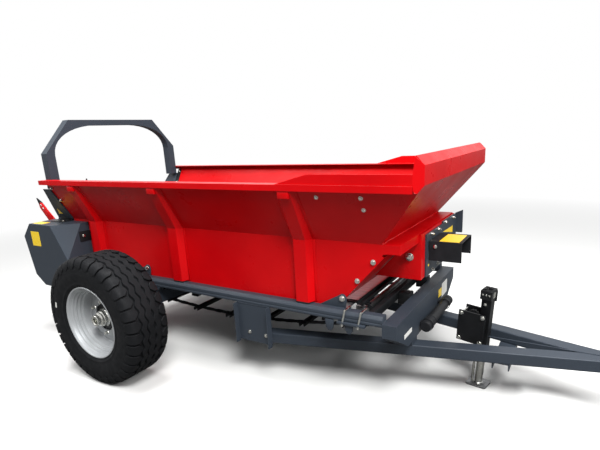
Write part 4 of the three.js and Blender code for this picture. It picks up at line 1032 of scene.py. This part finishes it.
# ------------------------------------------------------------------ conveyor
class SPREADER_OT_conveyor(bpy.types.Operator):
    """Adds the conveyor's link chains, slats, shafts and toothed sprockets"""

    bl_idname = "spreader.conveyor"
    bl_label = "Conveyor"

    chain_y: FloatProperty(
        name="Chain spacing", description="Half the distance between the chains, in mm", default=350)
    slat_step: FloatProperty(name="Slat step", description="Distance between slats, in mm", default=260)
    teeth: IntProperty(name="Teeth", description="Teeth on each sprocket", default=8, min=6)

    def run(self):
        """The chain's centre line round both shafts: straight above, and sagging below."""
        rear, front = middle("conveyor_rear_shaft"), middle("conveyor_front_shaft")
        low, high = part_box("conveyor")
        radius = high.x - front.x - 7 * MM
        slat_drop = 14 * MM
        sag = rear.z - radius - 7 * MM - low.z - slat_drop
        length = front.x - rear.x
        bends, steps = 48, 400
        points = []
        for i in range(bends):
            angle = pi / 2 - pi * i / bends
            points.append((front.x + radius * cos(angle), front.z + radius * sin(angle)))
        for i in range(steps):
            t = i / steps
            points.append((front.x - length * t, front.z - radius - sag * 4 * t * (1 - t)))
        for i in range(bends):
            angle = -pi / 2 - pi * i / bends
            points.append((rear.x + radius * cos(angle), rear.z + radius * sin(angle)))
        for i in range(steps):
            points.append((rear.x + length * i / steps, rear.z + radius))
        return points

    def stations(self, step):
        """Places along the chain a step apart, each with the chain's direction there and the one square to it."""
        points = self.run()
        points.append(points[0])
        lengths = [hypot(b[0] - a[0], b[1] - a[1]) for a, b in zip(points, points[1:])]
        count = round(sum(lengths) / step)
        step = sum(lengths) / count
        travelled, index = 0.0, 0
        for i in range(count):
            target = i * step
            while travelled + lengths[index] < target:
                travelled += lengths[index]
                index += 1
            a, b = points[index], points[index + 1]
            t = (target - travelled) / lengths[index]
            angle = atan2(b[1] - a[1], b[0] - a[0])
            yield (a[0] + (b[0] - a[0]) * t, a[1] + (b[1] - a[1]) * t,
                   Vector((cos(angle), 0, sin(angle))), Vector((-sin(angle), 0, cos(angle))))

    def draw_chains(self, bm):
        """Links with round ends, wide and narrow in turn, and the pin between each two."""
        pitch, round_end = sizes().chain_pitch, 6 * MM
        outline = []
        for end in (1, -1):
            for i in range(4):
                angle = -end * pi / 2 + pi * (i + 0.5) / 4
                outline.append((end * pitch / 2 + round_end * cos(angle), round_end * sin(angle)))
        for number, (x, z, tangent, normal) in enumerate(self.stations(pitch)):
            gap = (6 if number % 2 else 9.5) * MM
            for y in (-self.chain_y * MM, self.chain_y * MM):
                spot = Vector((x, y, z)) + tangent * pitch / 2
                for side in (-1, 1):
                    place = spot + Vector((0, side * gap + 1.4 * MM, 0))
                    add_plate(bm, outline, 2.8 * MM, across(tangent, normal, place))
                add_rod(bm, (x, y - 12.5 * MM, z), (x, y + 12.5 * MM, z), 3.6 * MM, 8)

    def draw_slats(self, bm):
        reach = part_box("conveyor")[1].y - 0.5 * MM
        outline = [(-17, 0), (17, 0), (17, 18), (12, 18), (12, 5), (-12, 5), (-12, 18), (-17, 18)]
        for x, z, tangent, normal in self.stations(self.slat_step * MM):
            origin = Vector((x, reach, z)) - normal * 2 * MM
            add_sheet(bm, outline, 2 * reach / MM, tangent, normal, origin, 0.8)

    def draw_shaft(self, bm, centre):
        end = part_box("conveyor_rear_shaft")[1].y
        tooth = mm(8.5, 4.5, 8.5)
        add_rod(bm, (centre.x, -end, centre.z), (centre.x, end, centre.z), 21.5 * MM, 32, edge=1.5 * MM)
        for side in (-1, 1):
            spot = Vector((centre.x, side * self.chain_y * MM, centre.z))
            for i in range(self.teeth):
                first = tau * i / self.teeth
                place = spot + mm(39 * cos(first), 0, 39 * sin(first))
                add_box(bm, place - tooth, place + tooth, 2.5 * MM, Matrix.Rotation(-first + pi / 4, 4, "Y"))
            add_rod(bm, spot - mm(0, 5, 0), spot + mm(0, 5, 0), 39 * MM, 32, edge=1 * MM)
            add_rod(bm, spot - mm(0, 20, 0), spot + mm(0, 20, 0), 31 * MM, 28, edge=2 * MM)

    def execute(self, context):
        make_piece("conveyor_chains", drawn(self.draw_chains), "black_paint", replaces=["conveyor"])
        make_piece("conveyor_slats", drawn(self.draw_slats), "black_paint")
        for end in ("rear", "front"):
            bm = bmesh.new()
            self.draw_shaft(bm, middle(f"conveyor_{end}_shaft"))
            make_piece(f"conveyor_{end}_sprockets", bm, "bare_steel", replaces=[f"conveyor_{end}_shaft"])
        return {"FINISHED"}


# ------------------------------------------------------------------ front drive
class SPREADER_OT_drive(bpy.types.Operator):
    """Finishes the drive housing and plate, and adds the splined stub, nuts and bolts"""

    bl_idname = "spreader.drive"
    bl_label = "Front drive"

    splines: IntProperty(name="Splines", description="Splines of the power take-off stub", default=6, min=6)

    plate_bolts = ((-47, 815), (73, 816), (208, 828), (372, 824), (-33, 623), (66, 630), (200, 640), (400, 640))

    def draw_stub(self, bm):
        """The stub's collar, its core and its splines."""
        low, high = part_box("pto_stub")
        z, core = middle("pto_stub").z, 14.6 * MM
        add_rod(bm, (low.x, 0, z), (low.x + 28 * MM, 0, z), 25.5 * MM, 40, edge=1.5 * MM)
        add_rod(bm, (low.x + 20 * MM, 0, z), (high.x, 0, z), core, 32, edge=1.5 * MM)
        half = Vector(((high.x - low.x) / 2 - 20.5 * MM, 2.7 * MM, 4.1 * MM))
        for i in range(self.splines):
            angle = tau * (i + 0.5) / self.splines
            centre = Vector(((low.x + high.x) / 2 + 20 * MM, core * cos(angle), z + core * sin(angle)))
            add_box(bm, centre - half, centre + half, 0.8 * MM, Matrix.Rotation(angle, 4, "X"))

    def draw_bolts(self, bm):
        plate_low, plate_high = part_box("drive_plate")
        size = sizes().bolt
        for y, z in self.plate_bolts:
            add_bolt(bm, (plate_low.x + 8 * MM, y * MM, z * MM), FORWARD, size * 0.9, stud=6 * MM)
        for side in (-1, 1):
            add_bolt(bm, at(1688, side * 104, 764), (0, side, 0), size * 0.75)
        for side, wall in zip((-1, 1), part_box("gearbox_housing")):
            add_bolt(bm, at(1586, wall.y / MM, 724), (0, side, 0), size * 1.6)
        for z in (740, 836):
            add_bolt(bm, (plate_high.x - 20 * MM, plate_high.y, z * MM), LEFT, size * 0.8)

    def execute(self, context):
        dress_node("gearbox_housing", "red_paint", sizes().sheet_edge)
        dress_node("drive_plate", "grey_paint", 0.0015)
        dress_node("gearbox", "black_paint", 0.012, 4)
        dress_node("pto_guard", "black_plastic", 0.0018, 3)
        make_piece("pto_stub_splined", drawn(self.draw_stub), "bare_steel", "pto_stub", ["pto_stub"])
        make_piece("drive_bolts", drawn(self.draw_bolts), "zinc_steel")
        return {"FINISHED"}


class SPREADER_OT_labels(bpy.types.Operator):
    """Adds the blank yellow and white labels"""

    bl_idname = "spreader.labels"
    bl_label = "Labels"

    thickness: FloatProperty(name="Thickness", description="Film thickness, in mm", default=0.5)

    def place(self, bm, outline, x_axis, y_axis, origin):
        add_sheet(bm, outline, self.thickness, x_axis, y_axis, origin)

    def draw_yellow(self, bm):
        low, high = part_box("side_guard_right")
        for sign in (-1, 1):
            origin = Vector((low.x + 0.148, sign * -low.y, high.z - 0.104))
            self.place(bm, rounded(101, 102, 6), (-sign, 0, 0), UP, origin)
            top = Vector((low.x + 0.165, sign * (-low.y - 0.05), high.z))
            self.place(bm, rounded(120, 62, 6), FORWARD, LEFT, top)
        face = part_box("drive_plate")[0].x + 8 * MM
        hood_low, hood_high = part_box("pto_guard")
        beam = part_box("front_beam")[1].x
        self.place(bm, [(160, 782), (370, 738), (372, 777)], LEFT, UP, (face, 0, 0))
        self.place(bm, rounded(16, 12, 2), LEFT, UP, (face, -0.094, 0.662))
        self.place(bm, rounded(97, 174, 5), FORWARD, LEFT, (hood_low.x + 0.097, -0.005, hood_high.z))
        self.place(bm, rounded(62, 48, 4), LEFT, UP, (beam, 0.2065, 0.4115))
        for sign in (-1, 1):
            one = bmesh.new()
            self.place(one, [(-26, 0), (26, 0), (2, 46)], (-1, 0, 0), FLARE_UP, flare_point(-890, 874, 0.2))
            bmesh.ops.scale(one, vec=(1, sign, 1), verts=one.verts)
            move_into(bm, one)

    def draw_white(self, bm):
        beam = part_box("front_beam")[1].x
        self.place(bm, rounded(112, 82, 5), LEFT, UP, (beam, 0.298, 0.4135))
        self.place(bm, rounded(108, 23, 3), LEFT, UP, (beam, -0.345, 0.3855))

    def execute(self, context):
        make_piece("yellow_labels", drawn(self.draw_yellow), "yellow_label")
        make_piece("white_labels", drawn(self.draw_white), "white_label")
        away = Vector((cos(radians(166)), 0, sin(radians(166))))
        for side, sign in SIDES.items():
            sticker = bmesh.new()
            face = wheel_centre(side) + away * 289 * MM + mm(0, sign * 130.8, 0)
            self.place(sticker, rounded(34, 13, 2), -sign * away.cross(Vector(LEFT)), away, face)
            make_piece(f"tyre_sticker_{side}", sticker, "white_label", f"wheel_{side}")
        return {"FINISHED"}


# ------------------------------------------------------------------ stage
class SPREADER_OT_stage(bpy.types.Operator):
    """Sets up the pale floor, the soft lamps, the backdrop and the camera"""

    bl_idname = "spreader.stage"
    bl_label = "Stage"

    yaw: angle_value("Yaw", "Camera's turn to the left", 31.763)
    pitch: angle_value("Pitch", "Camera's tilt upwards", -15.058)
    roll: angle_value("Roll", "Camera's roll", -2.913)
    lens: FloatProperty(name="Lens", description="Focal length, in mm on a 36 mm sensor", default=27.37)

    camera_place = (2307.8, -2308.0, 1339.7)
    lamps = (    # name, place, aim, diameter, power
        ("key", (3.0, -3.2, 5.2), (0.3, 0, 0.6), 2.2, 480),
        ("front", (5.5, -1.4, 3.8), (0.6, 0, 0.8), 2.4, 190),
        ("fill", (-3.6, -3.4, 5.0), (-0.4, 0, 0.7), 3.0, 130),
        ("top", (-0.3, -0.5, 6.0), (0, 0, 0.8), 2.6, 390))

    def make_camera(self):
        data = bpy.data.cameras.new("camera")
        data.lens = self.lens
        data.sensor_width = 36
        data.shift_x = -0.0142
        data.shift_y = 0.0521
        camera = link_object("camera", data)
        camera.matrix_world = (
            Matrix.Translation(at(*self.camera_place)) @ Matrix.Rotation(self.yaw, 4, "Z")
            @ Matrix.Rotation(pi / 2 + self.pitch, 4, "X") @ Matrix.Rotation(self.roll, 4, "Z"))
        bpy.context.scene.camera = camera

    def make_lamp(self, name, place, aim, size, power):
        data = bpy.data.lights.new(name, "AREA")
        data.shape = "DISK"
        data.size = size
        data.energy = power
        direction = Vector(aim) - Vector(place)
        turn = direction.to_track_quat("-Z", "Y").to_matrix().to_4x4()
        link_object(name, data).matrix_world = Matrix.Translation(place) @ turn

    def mix_output(self, tree, factor, first, second, output):
        """Feeds an output with the first shader, or where the factor is 1 with the second."""
        mixed = add_node(tree, "ShaderNodeMixShader", inputs={
            0: factor, 1: first.outputs[0], 2: second.outputs[0]})
        tree.links.new(mixed.outputs[0], tree.nodes[output].inputs["Surface"])

    def make_floor(self):
        """A round pale floor that fades to the backdrop's white far from the machine."""
        bm = bmesh.new()
        bmesh.ops.create_circle(bm, cap_ends=True, segments=96, radius=40)
        mesh = bpy.data.meshes.new("floor")
        bm.to_mesh(mesh)
        bm.free()
        floor = link_object("floor", mesh)
        material, tree, shader, coords = start_material("floor", Roughness=0.9)
        path = add_node(tree, "ShaderNodeLightPath").outputs["Is Camera Ray"]
        tone = mix_colours(tree, path, colours().floor_bounce, colours().floor)
        tree.links.new(tone, shader.inputs["Base Color"])
        distance = add_node(tree, "ShaderNodeVectorMath", {"operation": "LENGTH"}, {0: coords}).outputs["Value"]
        far = ramp(tree, distance, 2.2, 7.0, 0, 1)
        far = add_node(tree, "ShaderNodeMath", {"operation": "MULTIPLY"}, {0: far, 1: path}).outputs[0]
        glow = add_node(tree, "ShaderNodeEmission", inputs={"Strength": 1.0})
        self.mix_output(tree, far, shader, glow, "Material Output")
        mesh.materials.append(material)

    def make_world(self):
        """A soft light from all round, behind a backdrop that is seen and mirrored as white."""
        world = bpy.data.worlds.new("backdrop")
        bpy.context.scene.world = world
        world.use_nodes = True
        tree = world.node_tree
        light = tree.nodes["Background"]
        light.inputs["Color"].default_value = linear("#F2F5FA")
        light.inputs["Strength"].default_value = 0.26
        shown = add_node(tree, "ShaderNodeBackground", inputs={"Color": (1, 1, 1, 1), "Strength": 1.0})
        rays = add_node(tree, "ShaderNodeLightPath").outputs
        seen = rays["Is Camera Ray"]
        for ray in ("Is Transmission Ray", "Is Glossy Ray"):
            seen = add_node(tree, "ShaderNodeMath", {"operation": "MAXIMUM"}, {0: seen, 1: rays[ray]}).outputs[0]
        self.mix_output(tree, seen, light, shown, "World Output")

    def execute(self, context):
        self.make_camera()
        self.make_floor()
        self.make_world()
        for lamp in self.lamps:
            self.make_lamp(*lamp)
        context.scene.view_settings.view_transform = "Standard"
        return {"FINISHED"}


OPERATORS = (
    SPREADER_OT_stage, SPREADER_OT_hopper, SPREADER_OT_hopper_bolts, SPREADER_OT_chassis,
    SPREADER_OT_document_tube, SPREADER_OT_jack, SPREADER_OT_tyres, SPREADER_OT_wheels,
    SPREADER_OT_rear_frame, SPREADER_OT_beater, SPREADER_OT_conveyor, SPREADER_OT_drive, SPREADER_OT_labels,
)


class SPREADER_PT_panel(bpy.types.Panel):
    """Lists the steps and the values of the manure spreader"""

    bl_idname = "SPREADER_PT_panel"
    bl_label = "Manure Spreader"
    bl_space_type = "VIEW_3D"
    bl_region_type = "UI"
    bl_category = "Spreader"

    def draw(self, context):
        for operator in OPERATORS:
            self.layout.operator(operator.bl_idname)
        for values in (context.scene.spreader_colours, context.scene.spreader_sizes):
            box = self.layout.box()
            for name in values.bl_rna.properties.keys():
                if name not in {"rna_type", "name"}:
                    box.prop(values, name)


CLASSES = (SpreaderColours, SpreaderSizes, *OPERATORS, SPREADER_PT_panel)


def register():
    for cls in CLASSES:
        bpy.utils.register_class(cls)
    bpy.types.Scene.spreader_colours = PointerProperty(type=SpreaderColours)
    bpy.types.Scene.spreader_sizes = PointerProperty(type=SpreaderSizes)


def unregister():
    del bpy.types.Scene.spreader_sizes
    del bpy.types.Scene.spreader_colours
    for cls in reversed(CLASSES):
        bpy.utils.unregister_class(cls)


def main():
    register()
    for operator in OPERATORS:
        group, name = operator.bl_idname.split(".")
        getattr(getattr(bpy.ops, group), name)()


if __name__ == "__main__":
    main()
